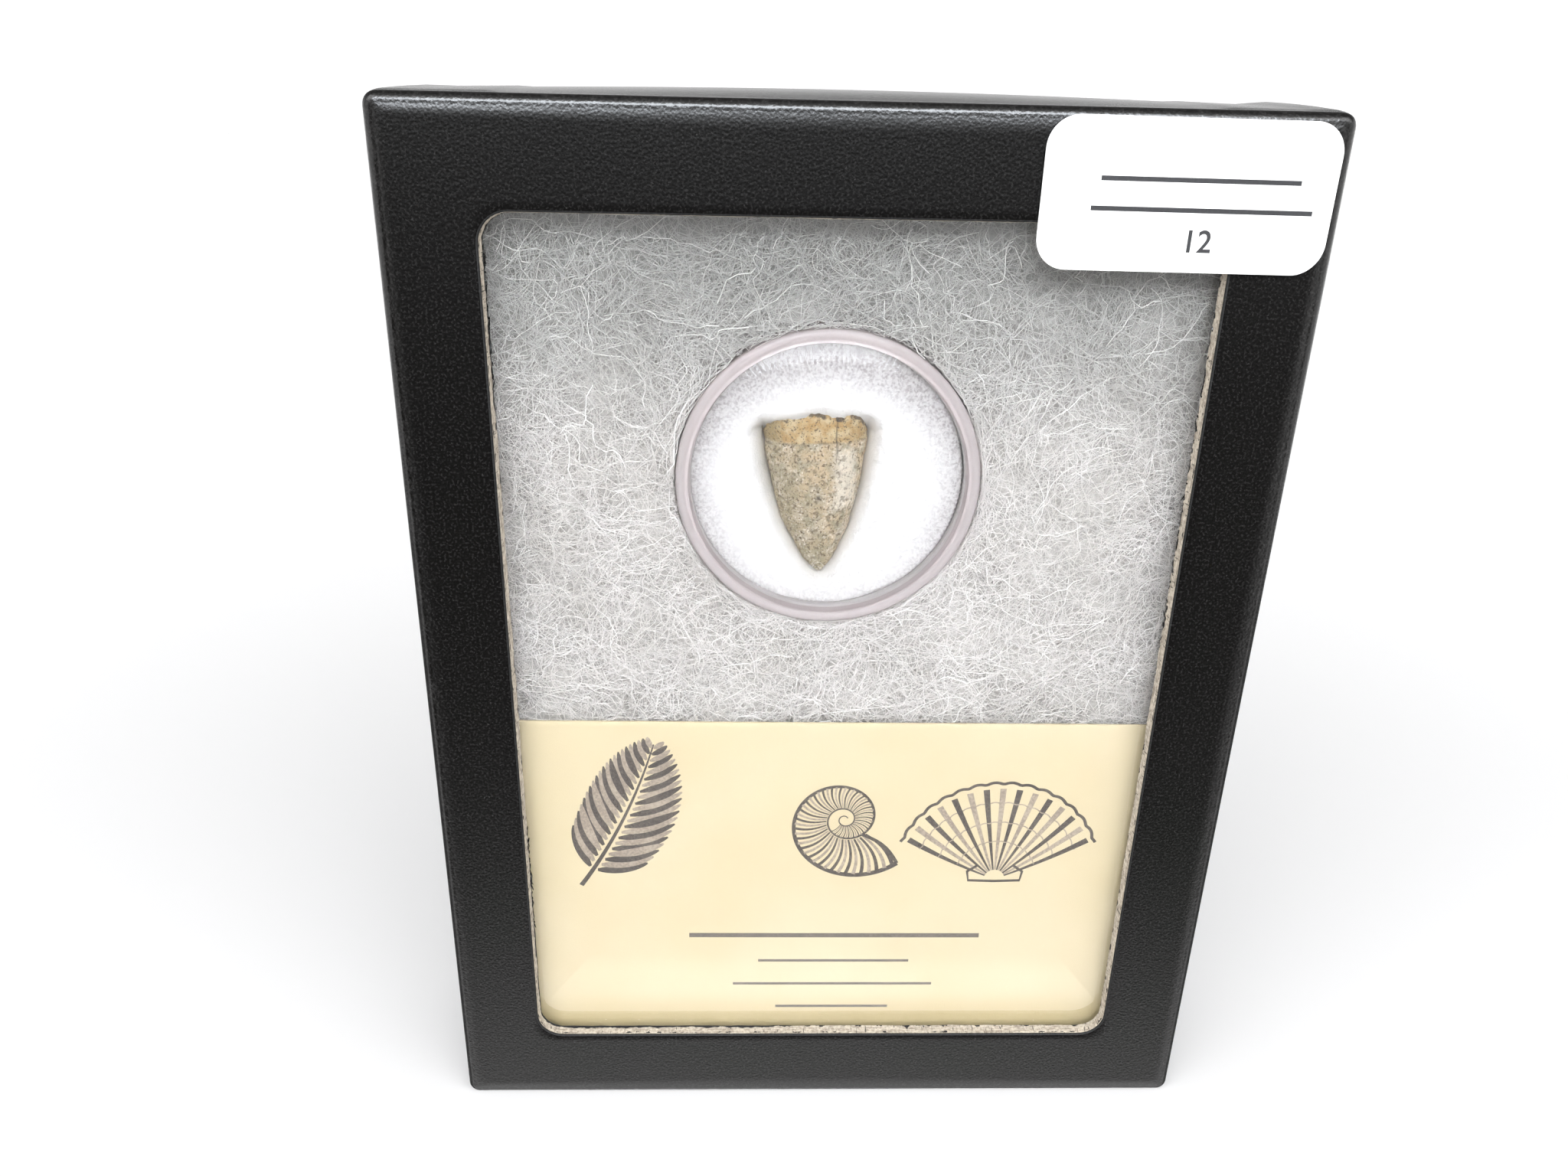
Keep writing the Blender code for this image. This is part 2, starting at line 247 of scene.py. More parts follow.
class ShaderTree(Tree):
    """The node tree of a material, around its Principled shader."""

    def __init__(self, material: bpy.types.Material) -> None:
        """Start from a material's own tree.

        Args:
            material: the material.
        """
        super().__init__(material.node_tree)
        self.shader = material.node_tree.nodes["Principled BSDF"]
        self.place = self.node("ShaderNodeTexCoord", out="Object")

    def surface(self, **values: Any) -> None:
        """Set or link the shader's sockets, named with underscores for spaces."""
        for name, value in values.items():
            self.feed(self.shader.inputs[name.replace("_", " ")], value)

    def grain(self, size: float, detail: float = 2.0, stretch: Sequence[float] = (1.0, 1.0, 1.0),
              shift: float = 0.0, distortion: float = 0.0) -> SocketExpr:
        """Soft noise.

        Args:
            size: how far across its features are.
            detail: how many finer layers it has.
            stretch: how much tighter it is along each axis.
            shift: how far it is moved, for a pattern of its own.
            distortion: how much it swirls.

        Returns:
            A number about a half.
        """
        place = self.place * tuple(stretch) + (shift, shift, shift)
        sockets = {"Vector": place, "Scale": 1.0 / size, "Detail": detail, "Distortion": distortion}
        return self.node("ShaderNodeTexNoise", {}, sockets, out="Fac")

    def cells(self, size: float, feature: str = "F1") -> SocketExpr:
        """The distance to the nearest point of scattered cells of about the given size."""
        sockets = {"Vector": self.place, "Scale": 1.0 / size}
        return self.node("ShaderNodeTexVoronoi", {"feature": feature}, sockets, out="Distance")

    def mark(self, name: str) -> SocketExpr:
        """A number that the mesh carries at each of its points."""
        return self.node("ShaderNodeAttribute", {"attribute_name": name}, out="Fac")

    def painted_upper_shade(self) -> SocketExpr:
        """How much painted shade darkens the wadding towards the lid's upper edge."""
        return self.place.axis("Z").step(SHADE_START, SHADE_FULL) * 0.85

    def relief(self, height: SocketExpr, depth: float) -> SocketExpr:
        """A bump from a height of 0 to 1, standing for a real depth."""
        sockets = {"Height": height, "Distance": depth, "Strength": 1.0}
        return self.node("ShaderNodeBump", {}, sockets, out="Normal")


@dataclass(frozen=True)
class Finish:
    """A surface finish; each kind paints a Principled shader in its own way."""

    name: str

    def material(self) -> bpy.types.Material:
        """The material of this finish, made on first use.

        Returns:
            The material.
        """
        made = bpy.data.materials.get(self.name)
        if made is None:
            made = bpy.data.materials.new(self.name)
            made.use_nodes = True
            self.paint(ShaderTree(made))
        return made

    def paint(self, tree: ShaderTree) -> None:
        """Fill in the material's nodes.

        Args:
            tree: the material's nodes.
        """
        raise NotImplementedError


@dataclass(frozen=True)
class PebbledPaper(Finish):
    """Black leatherette paper with a fine pebble and a satin shine, dull in its creases."""

    tone: Colour = (0.0018, 0.0015, 0.0013)
    rubbed: Colour = (0.045, 0.044, 0.044)
    roughness: float = 0.20
    pebble: float = 0.24 * MM
    depth: float = 0.013 * MM

    def paint(self, tree: ShaderTree) -> None:
        """Pebbles, a fine tooth between them, and rubbed edges.

        Args:
            tree: the material's nodes.
        """
        pebbles = tree.cells(self.pebble, "SMOOTH_F1").step(0.1, 0.75)
        tooth = tree.grain(self.pebble / 3, 3.0)
        height = pebbles * 0.65 + tooth * 0.5
        wear = (tree.mark("edge") * tree.grain(1.1 * MM, 3.0).step(0.5, 0.74)).least(1.0)
        drift = tree.grain(9 * MM, 2.0)
        tone = tree.blend(drift * 0.5, self.tone, tuple(1.7 * share for share in self.tone))
        specks = tree.grain(0.24 * MM, 2.0, shift=6.7).step(0.48, 0.66) * 0.25
        dust = tree.grain(0.26 * MM, 1.0, shift=3.1).step(0.72, 0.80) * 0.45
        tree.surface(
            Base_Color=tree.blend((wear * 0.20 + dust + specks).least(1.0), tone, self.rubbed),
            Roughness=self.roughness + tooth * 0.10 - tree.mark("edge") * 0.06 + tree.mark("crease") * 0.5,
            Specular_IOR_Level=0.4,
            Normal=tree.relief(height * (1.0 - tree.mark("smooth") * 0.9), self.depth),
        )


@dataclass(frozen=True)
class CutBoard(Finish):
    """The bare cut edge of grey chipboard, with slivers of black paper at its lips."""

    pale: Colour = paint("cbc1b0")
    dull: Colour = paint("857a6d")
    black: Colour = (0.008, 0.007, 0.006)

    def paint(self, tree: ShaderTree) -> None:
        """Torn fibres, darker layers, and black slivers near the lips.

        Args:
            tree: the material's nodes.
        """
        fibres = tree.grain(0.35 * MM, 4.0)
        layers = tree.grain(0.5 * MM, 2.0, stretch=(0.3, 6.0, 0.3), shift=1.3)
        hairs = tree.grain(0.5 * MM, 3.0, stretch=(2.6, 0.25, 2.6), shift=4.4).step(0.62, 0.70) * 0.8
        board = tree.blend((fibres * 0.6 + layers * 0.5).step(0.35, 0.75), self.pale, self.dull)
        slivers = tree.grain(0.9 * MM, 3.0, shift=2.4) + tree.mark("lip") * 0.34
        tree.surface(
            Base_Color=tree.blend(slivers.step(0.76, 0.80).most(hairs), board, self.black),
            Roughness=0.85,
            Normal=tree.relief(fibres, 0.12 * MM),
        )


@dataclass(frozen=True)
class ClearGlass(Finish):
    """Polished sheet glass with the faintest smears."""

    tint: Colour = (0.998, 0.998, 0.993)

    def paint(self, tree: ShaderTree) -> None:
        """Plain transmission, with a little haze where a hand has wiped it.

        Args:
            tree: the material's nodes.
        """
        smear = tree.grain(14 * MM, 3.0, distortion=1.5).step(0.55, 0.8)
        tree.surface(Base_Color=self.tint, Transmission_Weight=1.0, IOR=1.48, Roughness=smear * 0.012)


@dataclass(frozen=True)
class ClearStyrene(Finish):
    """Clear moulded plastic, milky and lilac where it is seen through a thick wall."""

    tint: Colour = (1.0, 0.995, 1.0)
    clarity: float = 1.0

    def paint(self, tree: ShaderTree) -> None:
        """Plain transmission, with fine moulding flow in its gloss.

        Args:
            tree: the material's nodes.
        """
        flow = tree.grain(5 * MM, 2.0, distortion=0.8)
        cloud = tree.grain(2.5 * MM, 2.0, shift=1.1).step(0.3, 0.7)
        clouded = tuple(0.985 * share for share in self.tint)
        tree.surface(
            Base_Color=tree.blend(cloud, self.tint, clouded),
            Transmission_Weight=self.clarity,
            IOR=1.32,
            Roughness=0.02 + flow * 0.05,
        )


@dataclass(frozen=True)
class Fibre(Finish):
    """White polyester fibre."""

    white: Colour = (0.905, 0.87, 0.855)
    grey: Colour = (0.79, 0.755, 0.728)
    # dim is the colour of the painted shade near the top
    dim: Colour = (0.50, 0.495, 0.475)

    def paint(self, tree: ShaderTree) -> None:
        """White with a slow drift of grey, painted darker near the top as painted shade, and a slight
        sheen.

        Args:
            tree: the material's nodes.
        """
        drift = tree.grain(7 * MM, 2.0).step(0.35, 0.7)
        colour = tree.blend(drift, self.white, self.grey)
        painted_shade = tree.blend(tree.painted_upper_shade(), colour, self.dim)
        tree.surface(Base_Color=painted_shade, Roughness=0.42 + drift * 0.15)


@dataclass(frozen=True)
class MattedFibre(Finish):
    """The matted inside of the wadding, seen between its loose fibres."""

    white: Colour = (0.63, 0.60, 0.575)
    grey: Colour = (0.44, 0.42, 0.395)
    # dim is the colour of the painted shade near the top
    dim: Colour = (0.33, 0.325, 0.31)

    def paint(self, tree: ShaderTree) -> None:
        """Fine crossing fibres as colour and relief, painted darker near the top as painted shade.

        Args:
            tree: the material's nodes.
        """
        mat = tree.grain(0.5 * MM, 5.0, distortion=2.0)
        tufts = tree.grain(4.5 * MM, 2.0, shift=0.7)
        colour = tree.blend((mat * 0.6 + tufts * 0.5).step(0.35, 0.75), self.white, self.grey)
        tree.surface(
            Base_Color=tree.blend(tree.painted_upper_shade(), colour, self.dim),
            Roughness=0.9,
            Normal=tree.relief(mat, 0.2 * MM),
        )


@dataclass(frozen=True)
class SoftFoam(Finish):
    """Bright white foam with a fine open texture."""

    white: Colour = (0.96, 0.95, 0.94)
    pore_and_shade_grey: Colour = (0.45, 0.41, 0.415)
    # The warm colour of the painted shade round the tooth
    painted_shade: Colour = (0.62, 0.58, 0.50)

    def paint(self, tree: ShaderTree) -> None:
        """Pores that gather towards the rim, a painted grey shade towards the rim that is strongest at the
        top, and a painted warm shade round the tooth.

        Args:
            tree: the material's nodes.
        """
        pores = tree.grain(0.26 * MM, 3.0)
        # The rim mark paints grey shade towards the rim as well as gathering the pores there; near paints
        # the warm shade round the tooth
        shade = tree.mark("rim") * 0.34 + pores.step(0.40, 0.66) * (tree.mark("rim") * 0.55 + 0.03)
        white = tree.blend(tree.mark("near") * 0.75, self.white, self.painted_shade)
        tree.surface(
            Base_Color=tree.blend(shade, white, self.pore_and_shade_grey),
            Roughness=0.95,
            Normal=tree.relief(pores, 0.10 * MM),
        )


@dataclass(frozen=True)
class FossilEnamel(Finish):
    """Worn grey-beige enamel with pale specks and pits, below a tan band of bare root."""

    enamel: Colour = paint("cfb893")
    olive: Colour = paint("a69a7b")
    pale: Colour = paint("f2e9d8")
    grey: Colour = paint("b6ac97")
    tan: Colour = paint("bf9b63")
    pale_tan: Colour = paint("d3bf94")
    flank: Colour = paint("978456")
    stain: Colour = paint("4a3a27")
    pit: Colour = paint("6a5639")

    def paint(self, tree: ShaderTree) -> None:
        """Mottles, specks, pits, the root band, cracks and dark broken edges, one over another.

        Args:
            tree: the material's nodes.
        """
        mottle = tree.grain(1.3 * MM, 4.0, distortion=0.6)
        colour = tree.blend(mottle.step(0.40, 0.66), self.enamel, self.olive)
        clouds = tree.grain(2.1 * MM, 3.0, shift=4.2)
        colour = tree.blend(clouds.step(0.48, 0.66) * 0.55, colour, self.grey)
        # The dusk mark paints the enamel olive towards the tip, on the left half and down a middle stripe:
        # painted shade over the tooth's own olive
        colour = tree.blend(tree.mark("dusk") * 0.75, colour, self.olive)
        gather = tree.grain(1.6 * MM, 3.0, shift=8.8).step(0.46, 0.62)
        colour = tree.blend(gather * 0.22, colour, self.pale)
        specks = tree.grain(0.24 * MM, 4.0, shift=1.9) + tree.mark("pale") * 0.10
        colour = tree.blend(specks.step(0.53, 0.66) * (gather * 0.55 + 0.27), colour, self.pale)
        colour = tree.blend(tree.mark("pale") * 0.80, colour, self.pale)

        bare = tree.blend(tree.grain(0.8 * MM, 3.0, shift=2.6).step(0.35, 0.68), self.tan, self.pale_tan)
        bare = tree.blend(tree.mark("flank") * 0.8, bare, self.flank)
        colour = tree.blend(tree.mark("root"), colour, bare)

        holes = tree.grain(0.21 * MM, 2.0, shift=5.3).step(0.57, 0.65) * (1.0 - tree.mark("pale") * 0.6)
        colour = tree.blend((holes * 0.85 + tree.mark("pits")).least(1.0), colour, self.pit)
        colour = tree.blend(tree.mark("stain").least(1.0), colour, self.stain)
        fine = tree.grain(0.16 * MM, 4.0)
        tree.surface(
            Base_Color=colour,
            Roughness=0.62 + fine * 0.25,
            Specular_IOR_Level=0.35,
            Normal=tree.relief(fine * 0.7 + mottle * 0.5 - holes * 0.6, 0.07 * MM),
        )


@dataclass(frozen=True)
class CardStock(Finish):
    """Cream card with a soft paper grain."""

    cream: Colour = (0.615, 0.525, 0.36)
    # deep serves the drift of tone and also the painted shade at the card's sides and bottom
    deep: Colour = (0.53, 0.43, 0.245)

    def paint(self, tree: ShaderTree) -> None:
        """A slow drift of tone, paper grain, and painted shade along the sides and bottom, where the
        window's edges shade the card.

        Args:
            tree: the material's nodes.
        """
        drift = tree.grain(16 * MM, 3.0).step(0.3, 0.75)
        grain = tree.grain(0.18 * MM, 3.0)
        # The margin shade mark is painted shade along the card's sides and bottom, where the window's edges
        # shade it
        share = (drift * 0.35 + grain * 0.18 + tree.mark("painted_margin_shade") * 0.7).least(1.0)
        tree.surface(
            Base_Color=tree.blend(share, self.cream, self.deep),
            Roughness=0.62 + grain * 0.2,
            Specular_IOR_Level=0.35,
            Normal=tree.relief(grain, 0.012 * MM),
        )


@dataclass(frozen=True)
class WhiteLabel(Finish):
    """Smooth bright white label paper."""

    white: Colour = (0.95, 0.95, 0.955)
    grey: Colour = (0.86, 0.86, 0.87)

    def paint(self, tree: ShaderTree) -> None:
        """A barely visible paper grain.

        Args:
            tree: the material's nodes.
        """
        grain = tree.grain(0.12 * MM, 3.0)
        tree.surface(
            Base_Color=tree.blend(grain * 0.12, self.white, self.grey),
            Roughness=0.48 + grain * 0.12,
            Normal=tree.relief(grain, 0.006 * MM),
        )


@dataclass(frozen=True)
class PrintedInk(Finish):
    """Ink in a soft stipple of two tones."""

    tone: Colour
    lighter: Colour

    def paint(self, tree: ShaderTree) -> None:
        """Stipple at the scale of a fine print.

        Args:
            tree: the material's nodes.
        """
        stipple = tree.grain(0.28 * MM, 4.0)
        wash = tree.grain(3.0 * MM, 2.0, shift=0.9)
        share = (stipple * 0.7 + wash * 0.4).step(0.42, 0.72)
        tree.surface(Base_Color=tree.blend(share, self.tone, self.lighter), Roughness=0.6 + stipple * 0.2)


@dataclass(frozen=True)
class StudioFloor(Finish):
    """A matt white surface."""

    white: Colour = (0.81, 0.81, 0.815)
    grey: Colour = (0.77, 0.77, 0.77)

    def paint(self, tree: ShaderTree) -> None:
        """Plain white, hardly varied.

        Args:
            tree: the material's nodes.
        """
        drift = tree.grain(60 * MM, 1.0)
        tree.surface(Base_Color=tree.blend(drift * 0.02, self.white, self.grey), Roughness=0.9)


BLACK_PAPER = PebbledPaper("black_pebbled_paper")
TRAY_PAPER = PebbledPaper("tray_pebbled_paper", tone=(0.0046, 0.0042, 0.0039), roughness=0.40)
CUT_BOARD = CutBoard("bare_cut_board")
SHEET_GLASS = ClearGlass("sheet_glass")
STYRENE = ClearStyrene("clear_styrene")
STYRENE_SKIRT = ClearStyrene("lilac_styrene_skirt", (0.82, 0.735, 0.735), 0.55)
STYRENE_CUP = ClearStyrene("pale_styrene_cup", (0.985, 0.94, 0.93), 0.50)
POLYESTER = Fibre("polyester_fibre")
# A brighter copy of the polyester fibre for the top strands: painted light, where they catch the light
# above the shaded fibres
PAINTED_LIT_POLYESTER = Fibre("painted_lit_polyester_fibre", white=(1.0, 0.975, 0.96), grey=(0.97, 0.945, 0.93),
                         dim=(0.80, 0.79, 0.76))
MATTED = MattedFibre("matted_fibre")
FOAM = SoftFoam("white_soft_foam")
FOSSIL = FossilEnamel("fossil_enamel")
CREAM_CARD = CardStock("cream_card_stock")
LABEL_PAPER = WhiteLabel("white_label_paper")
DARK_INK = PrintedInk("dark_ink", paint("3f3833"), paint("5d544d"))
SOFT_INK = PrintedInk("soft_ink", paint("8a7c70"), paint("a89a8a"))
RULE_INK = PrintedInk("rule_ink", paint("5e564f"), paint("6f665d"))
LABEL_INK = PrintedInk("label_ink", paint("1f1f22"), paint("2c2c30"))
FLOOR_WHITE = StudioFloor("studio_floor")


class Closing(Enum):
    """How the first and last rows of a skinned grid are closed."""

    RING = "the last row joins the first"
    POLES = "each end row is a single point"


def ramp(value: Any, low: float, high: float) -> Any:
    """A smooth rise from 0 to 1.

    Args:
        value: a number or an array.
        low: where it starts to rise.
        high: where it has risen.

    Returns:
        Numbers from 0 to 1, in the shape of value.
    """
    t = np.clip((value - low) / (high - low), 0.0, 1.0)
    return t * t * (3.0 - 2.0 * t)


def evenly(count: int) -> Array:
    """Even shares from 0 to 1."""
    return np.linspace(0.0, 1.0, count)


def noise_at(points: Array, size: float, octaves: int = 3, shift: float = 0.0) -> Array:
    """Fractal noise at points.

    Args:
        points: an array of points whose last axis is x, y and z.
        size: how far across its features are.
        octaves: how many layers it has.
        shift: how far it is moved, for a pattern of its own.

    Returns:
        Numbers about 0, in the shape of points without its last axis.
    """
    flat = points.reshape(-1, 3) / size + shift
    values = [noise.fractal(Vector(place), 0.9, 2.0, octaves) for place in flat]
    return np.array(values).reshape(points.shape[:-1])


def polar(reach: Any, turn: Array) -> Array:
    """Points at distances and angles from the origin, in the plane of the window."""
    return np.stack((reach * np.cos(turn), reach * np.sin(turn)), axis=1)


def rounded_loop(half_width: float, half_height: float, radius: float, sides: int = 56,
                 corner: int = 8) -> Array:
    """A rounded rectangle round the origin, in the plane of the window.

    Args:
        half_width: half its width.
        half_height: half its height.
        radius: the radius of its corners.
        sides: how many steps each side has.
        corner: how many steps each corner has.

    Returns:
        An array of x and z, with as many points for any size.
    """
    signs = ((1, 1), (-1, 1), (-1, -1), (1, -1))
    bends = []
    for quarter, (right, up) in enumerate(signs):
        angles = (quarter + evenly(corner + 1)) * math.pi / 2
        middle = np.array((right * (half_width - radius), up * (half_height - radius)))
        bends.append(middle + polar(radius, angles))
    points = []
    for bend, following in zip(bends, bends[1:] + bends[:1]):
        points.extend(bend)
        shares = evenly(sides + 1)[1:-1, None]
        points.extend(bend[-1] * (1 - shares) + following[0] * shares)
    return np.array(points)


def in_space(loop: Array, depth: Any) -> Array:
    """A row of space points from x and z, at a depth behind the lid's front face."""
    depths = np.broadcast_to(FRONT_Y + np.asarray(depth, dtype=float), loop.shape[:1])
    return np.stack((loop[:, 0], depths, loop[:, 1]), axis=1)


def turn_out(mesh: bpy.types.Mesh) -> None:
    """Turn a mesh's faces outwards, and drop the points that no face uses.

    Args:
        mesh: the mesh.
    """
    shape = bmesh.new()
    shape.from_mesh(mesh)
    bmesh.ops.delete(shape, geom=[vert for vert in shape.verts if not vert.link_faces], context="VERTS")
    bmesh.ops.recalc_face_normals(shape, faces=shape.faces)
    shape.to_mesh(mesh)
    shape.free()


def skin(name: str, rows: Array, marks: dict[str, Array] | None = None,
         closing: Closing = Closing.POLES, sharp: float = 40.0) -> Piece:
    """Skin a grid of points into a closed mesh.

    Args:
        name: the piece's name.
        rows: points by row and column; the columns run round in a ring.
        marks: numbers by row and column that the mesh carries.
        closing: how the first and last rows are closed.
        sharp: the angle in degrees above which an edge stays sharp.

    Returns:
        The new object, at the origin.
    """
    count, around = rows.shape[:2]
    number = np.arange(count * around).reshape(count, around)
    if closing is Closing.POLES:
        number[0, :] = number[0, 0]
        number[-1, :] = number[-1, 0]
    following = np.roll(number, -1, axis=1)
    if closing is Closing.RING:
        low, low_next = number, following
        high, high_next = np.roll(number, -1, axis=0), np.roll(following, -1, axis=0)
    else:
        low, low_next, high, high_next = number[:-1], following[:-1], number[1:], following[1:]
    quads = np.stack((low, low_next, high_next, high), axis=-1).reshape(-1, 4)
    faces = [list(dict.fromkeys(quad)) for quad in quads.tolist()]
    mesh = bpy.data.meshes.new(name)
    mesh.from_pydata(rows.reshape(-1, 3).tolist(), [], faces)
    for mark, values in (marks or {}).items():
        mesh.attributes.new(mark, "FLOAT", "POINT").data.foreach_set("value", values.astype(float).ravel())
    turn_out(mesh)
    mesh.shade_smooth()
    mesh.set_sharp_from_angle(angle=math.radians(sharp))
    return show(name, mesh)


def show(name: str, data: bpy.types.ID | None) -> Piece:
    """Link a new object to the scene.

    Args:
        name: its name.
        data: its mesh, lettering, camera or lamp.

    Returns:
        The object.
    """
    piece = bpy.data.objects.new(name, data)
    bpy.context.scene.collection.objects.link(piece)
    return piece


def dress(piece: Piece, *finishes: Finish) -> Piece:
    """Give a piece its materials.

    Args:
        piece: the piece.
        finishes: one finish for each material.

    Returns:
        The same piece.
    """
    for finish in finishes:
        piece.data.materials.append(finish.material())
    return piece


def fix(piece: Piece, slot: str, *nodes: str) -> Piece:
    """Tie a finished piece to the frame.

    Args:
        piece: the piece, in place.
        slot: the record's material slot that its finish belongs to.
        nodes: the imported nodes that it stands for.

    Returns:
        The same piece.
    """
    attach(piece, BODY)
    if nodes:
        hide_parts(*nodes)
    LOG.info("%s: %d faces, slot %s, stands for %s", piece.name, len(piece.data.polygons), slot,
             ", ".join(nodes) or "none")
    return piece


LID_LOW, LID_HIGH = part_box("lid")
TRAY_LOW, TRAY_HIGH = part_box("tray")
FRONT_Y = LID_LOW.y


def depth_of(node: str) -> tuple[float, float]:
    """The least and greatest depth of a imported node."""
    low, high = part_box(node)
    return low.y - FRONT_Y, high.y - FRONT_Y


class Recipe(Tree):
    """A Geometry Nodes tree with named inputs, which turns a base mesh into a finished one."""

    def __init__(self, name: str, inputs: dict[str, str]) -> None:
        """Start a tree.

        Args:
            name: the tree's name.
            inputs: the kind of each named input, such as Float.
        """
        super().__init__(bpy.data.node_groups.new(name, "GeometryNodeTree"))
        face = self.tree.interface
        face.new_socket("Base", in_out="INPUT", socket_type="NodeSocketGeometry")
        self.keys = {}
        for label, kind in {**inputs, "Finish": "Material"}.items():
            socket = face.new_socket(label, in_out="INPUT", socket_type=f"NodeSocket{kind}")
            self.keys[label] = socket.identifier
        face.new_socket("Grown", in_out="OUTPUT", socket_type="NodeSocketGeometry")
        self.source = self.node("NodeGroupInput")

    def given(self, label: str) -> SocketExpr:
        """One of the tree's inputs."""
        return self.source.other(label)

    def random(self, low: Any, high: Any, seed: int, number: SocketExpr | None = None) -> SocketExpr:
        """A random number or vector for each element.

        Args:
            low: the least value, a number or three.
            high: the greatest value, alike.
            seed: the seed.
            number: the element's own number, or None for its index.

        Returns:
            The random value.
        """
        kind, first, out = ("FLOAT_VECTOR", 0, 0) if isinstance(low, tuple) else ("FLOAT", 2, 1)
        sockets = {first: low, first + 1: high, "Seed": seed}
        if number is not None:
            sockets["ID"] = number
        return self.node("FunctionNodeRandomValue", {"data_type": kind}, sockets, out)

    def swirl(self, size: float, number: SocketExpr, reach: Any) -> SocketExpr:
        """A smooth random shift, different for each strand.

        Args:
            size: how far along a strand it turns.
            number: the strand's number.
            reach: the greatest shift along each axis.

        Returns:
            The shift as a vector.
        """
        sockets = {"Vector": self.node("GeometryNodeInputPosition"), "W": number * 7.31,
                   "Scale": 1.0 / size, "Detail": 1.0}
        turned = self.node("ShaderNodeTexNoise", {"noise_dimensions": "4D"}, sockets, out="Color")
        return (turned - (0.5, 0.5, 0.5)) * reach

    def scatter(self) -> SocketExpr:
        """Points scattered over the base, at the density and from the seed that are given."""
        sockets = {"Mesh": self.source, "Density": self.given("Density"), "Seed": self.given("Seed")}
        return self.node("GeometryNodeDistributePointsOnFaces", {}, sockets)

    def straight(self, count: int) -> SocketExpr:
        """A straight strand of unit length along X.

        Args:
            count: how many points it has.

        Returns:
            The strand as a curve.
        """
        ends = {"Start": (-0.5, 0.0, 0.0), "End": (0.5, 0.0, 0.0)}
        line = self.node("GeometryNodeCurvePrimitiveLine", {}, ends)
        return self.node("GeometryNodeResampleCurve", {}, {"Curve": line, "Count": count})

    def put(self, shape: SocketExpr, points: SocketExpr, turn: SocketExpr, size: SocketExpr) -> SocketExpr:
        """A turned and sized copy of a shape on each point."""
        sockets = {"Points": points, "Instance": shape, "Rotation": turn, "Scale": size}
        return self.node("GeometryNodeInstanceOnPoints", {}, sockets)

    def thread(self, path: SocketExpr, **more: SocketExpr) -> SocketExpr:
        """A closed thread along each curve, three-sided and of the given thickness.

        Args:
            path: the curves.
            more: values for further sockets of the sweep.

        Returns:
            The threads as a mesh.
        """
        ring = self.node("GeometryNodeCurvePrimitiveCircle", {},
                         {"Resolution": 3, "Radius": self.given("Thickness")})
        sockets = {"Curve": path, "Profile Curve": ring, "Fill Caps": True, **more}
        return self.node("GeometryNodeCurveToMesh", {}, sockets)

    def finish(self, grown: SocketExpr) -> None:
        """End the tree in Realize Instances and Set Material.

        Args:
            grown: what the tree has made.
        """
        real = self.node("GeometryNodeRealizeInstances", {}, {"Geometry": grown})
        sockets = {"Geometry": real, "Material": self.given("Finish")}
        self.node("NodeGroupOutput", {}, {"Grown": self.node("GeometryNodeSetMaterial", {}, sockets)})

    def grow(self, name: str, base: bpy.types.Mesh, finish: Finish, values: dict[str, Any]) -> Piece:
        """Run the tree on a base mesh.

        Args:
            name: the new piece's name.
            base: the mesh that the tree starts from.
            finish: the new piece's finish.
            values: a value for each of the other named inputs.

        Returns:
            A piece with a plain mesh and no modifier.
        """
        piece = show(name, base)
        modifier = piece.modifiers.new(self.tree.name, "NODES")
        modifier.node_group = self.tree
        for label, value in {**values, "Finish": finish.material()}.items():
            modifier[self.keys[label]] = value
        piece.update_tag()
        bpy.context.view_layer.update()
        seen = piece.evaluated_get(bpy.context.evaluated_depsgraph_get())
        grown = bpy.data.meshes.new_from_object(seen)
        if grown.materials[0] is None:  # left by a primitive that was made without a material
            grown.materials.pop(index=0)
        piece.modifiers.remove(modifier)
        piece.data = grown
        grown.name = name
        return piece


def box_loop(low: Vector, high: Vector, inset: float, radius: float, **steps: int) -> Array:
    """The rounded outline of a box seen from the front, drawn in by an inset.

    Args:
        low: the box's low corner.
        high: its high corner.
        inset: how far it is drawn in.
        radius: the radius of its corners.
        steps: how many steps its sides and corners have, if not as usual.

    Returns:
        An array of x and z.
    """
    size, middle = (high - low) / 2, (low + high) / 2
    return rounded_loop(size.x - inset, size.z - inset, radius, **steps) + (middle.x, middle.z)


def round_box(node: str) -> tuple[Point, float]:
    """The middle, as x and z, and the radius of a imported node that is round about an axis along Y."""
    low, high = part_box(node)
    return ((low.x + high.x) / 2, (low.z + high.z) / 2), (high.x - low.x) / 2


def by_row(values: Sequence[float], points: Array) -> Array:
    """One number for each row, spread over the columns of points."""
    return np.repeat(np.array(values)[:, None], points.shape[1], axis=1)


def plate_rows(loop: Callable[[float], Array], front: float, back: float, arris: float,
               steps: int = 3) -> Array:
    """Rows for a flat plate with softened edges.

    Args:
        loop: gives the plate's outline at an inset.
        front: the depth of its front face.
        back: the depth of its back face.
        arris: the radius of its softened edges.
        steps: how many rings its faces have.

    Returns:
        Points by row and column, from the front face's middle to the back face's middle.
    """
    middle = loop(0.0).mean(axis=0)
    face = loop(arris)
    shares = evenly(steps + 1)
    rows = [in_space(middle + (face - middle) * share, front) for share in shares]
    for turn in (math.pi / 4, math.pi / 2):
        rows.append(in_space(loop(arris * (1 - math.sin(turn))), front + arris * (1 - math.cos(turn))))
    for turn in (0.0, math.pi / 4, math.pi / 2):
        rows.append(in_space(loop(arris * (1 - math.cos(turn))), back - arris * (1 - math.sin(turn))))
    rows += [in_space(middle + (face - middle) * share, back) for share in shares[::-1][1:]]
    return np.array(rows)


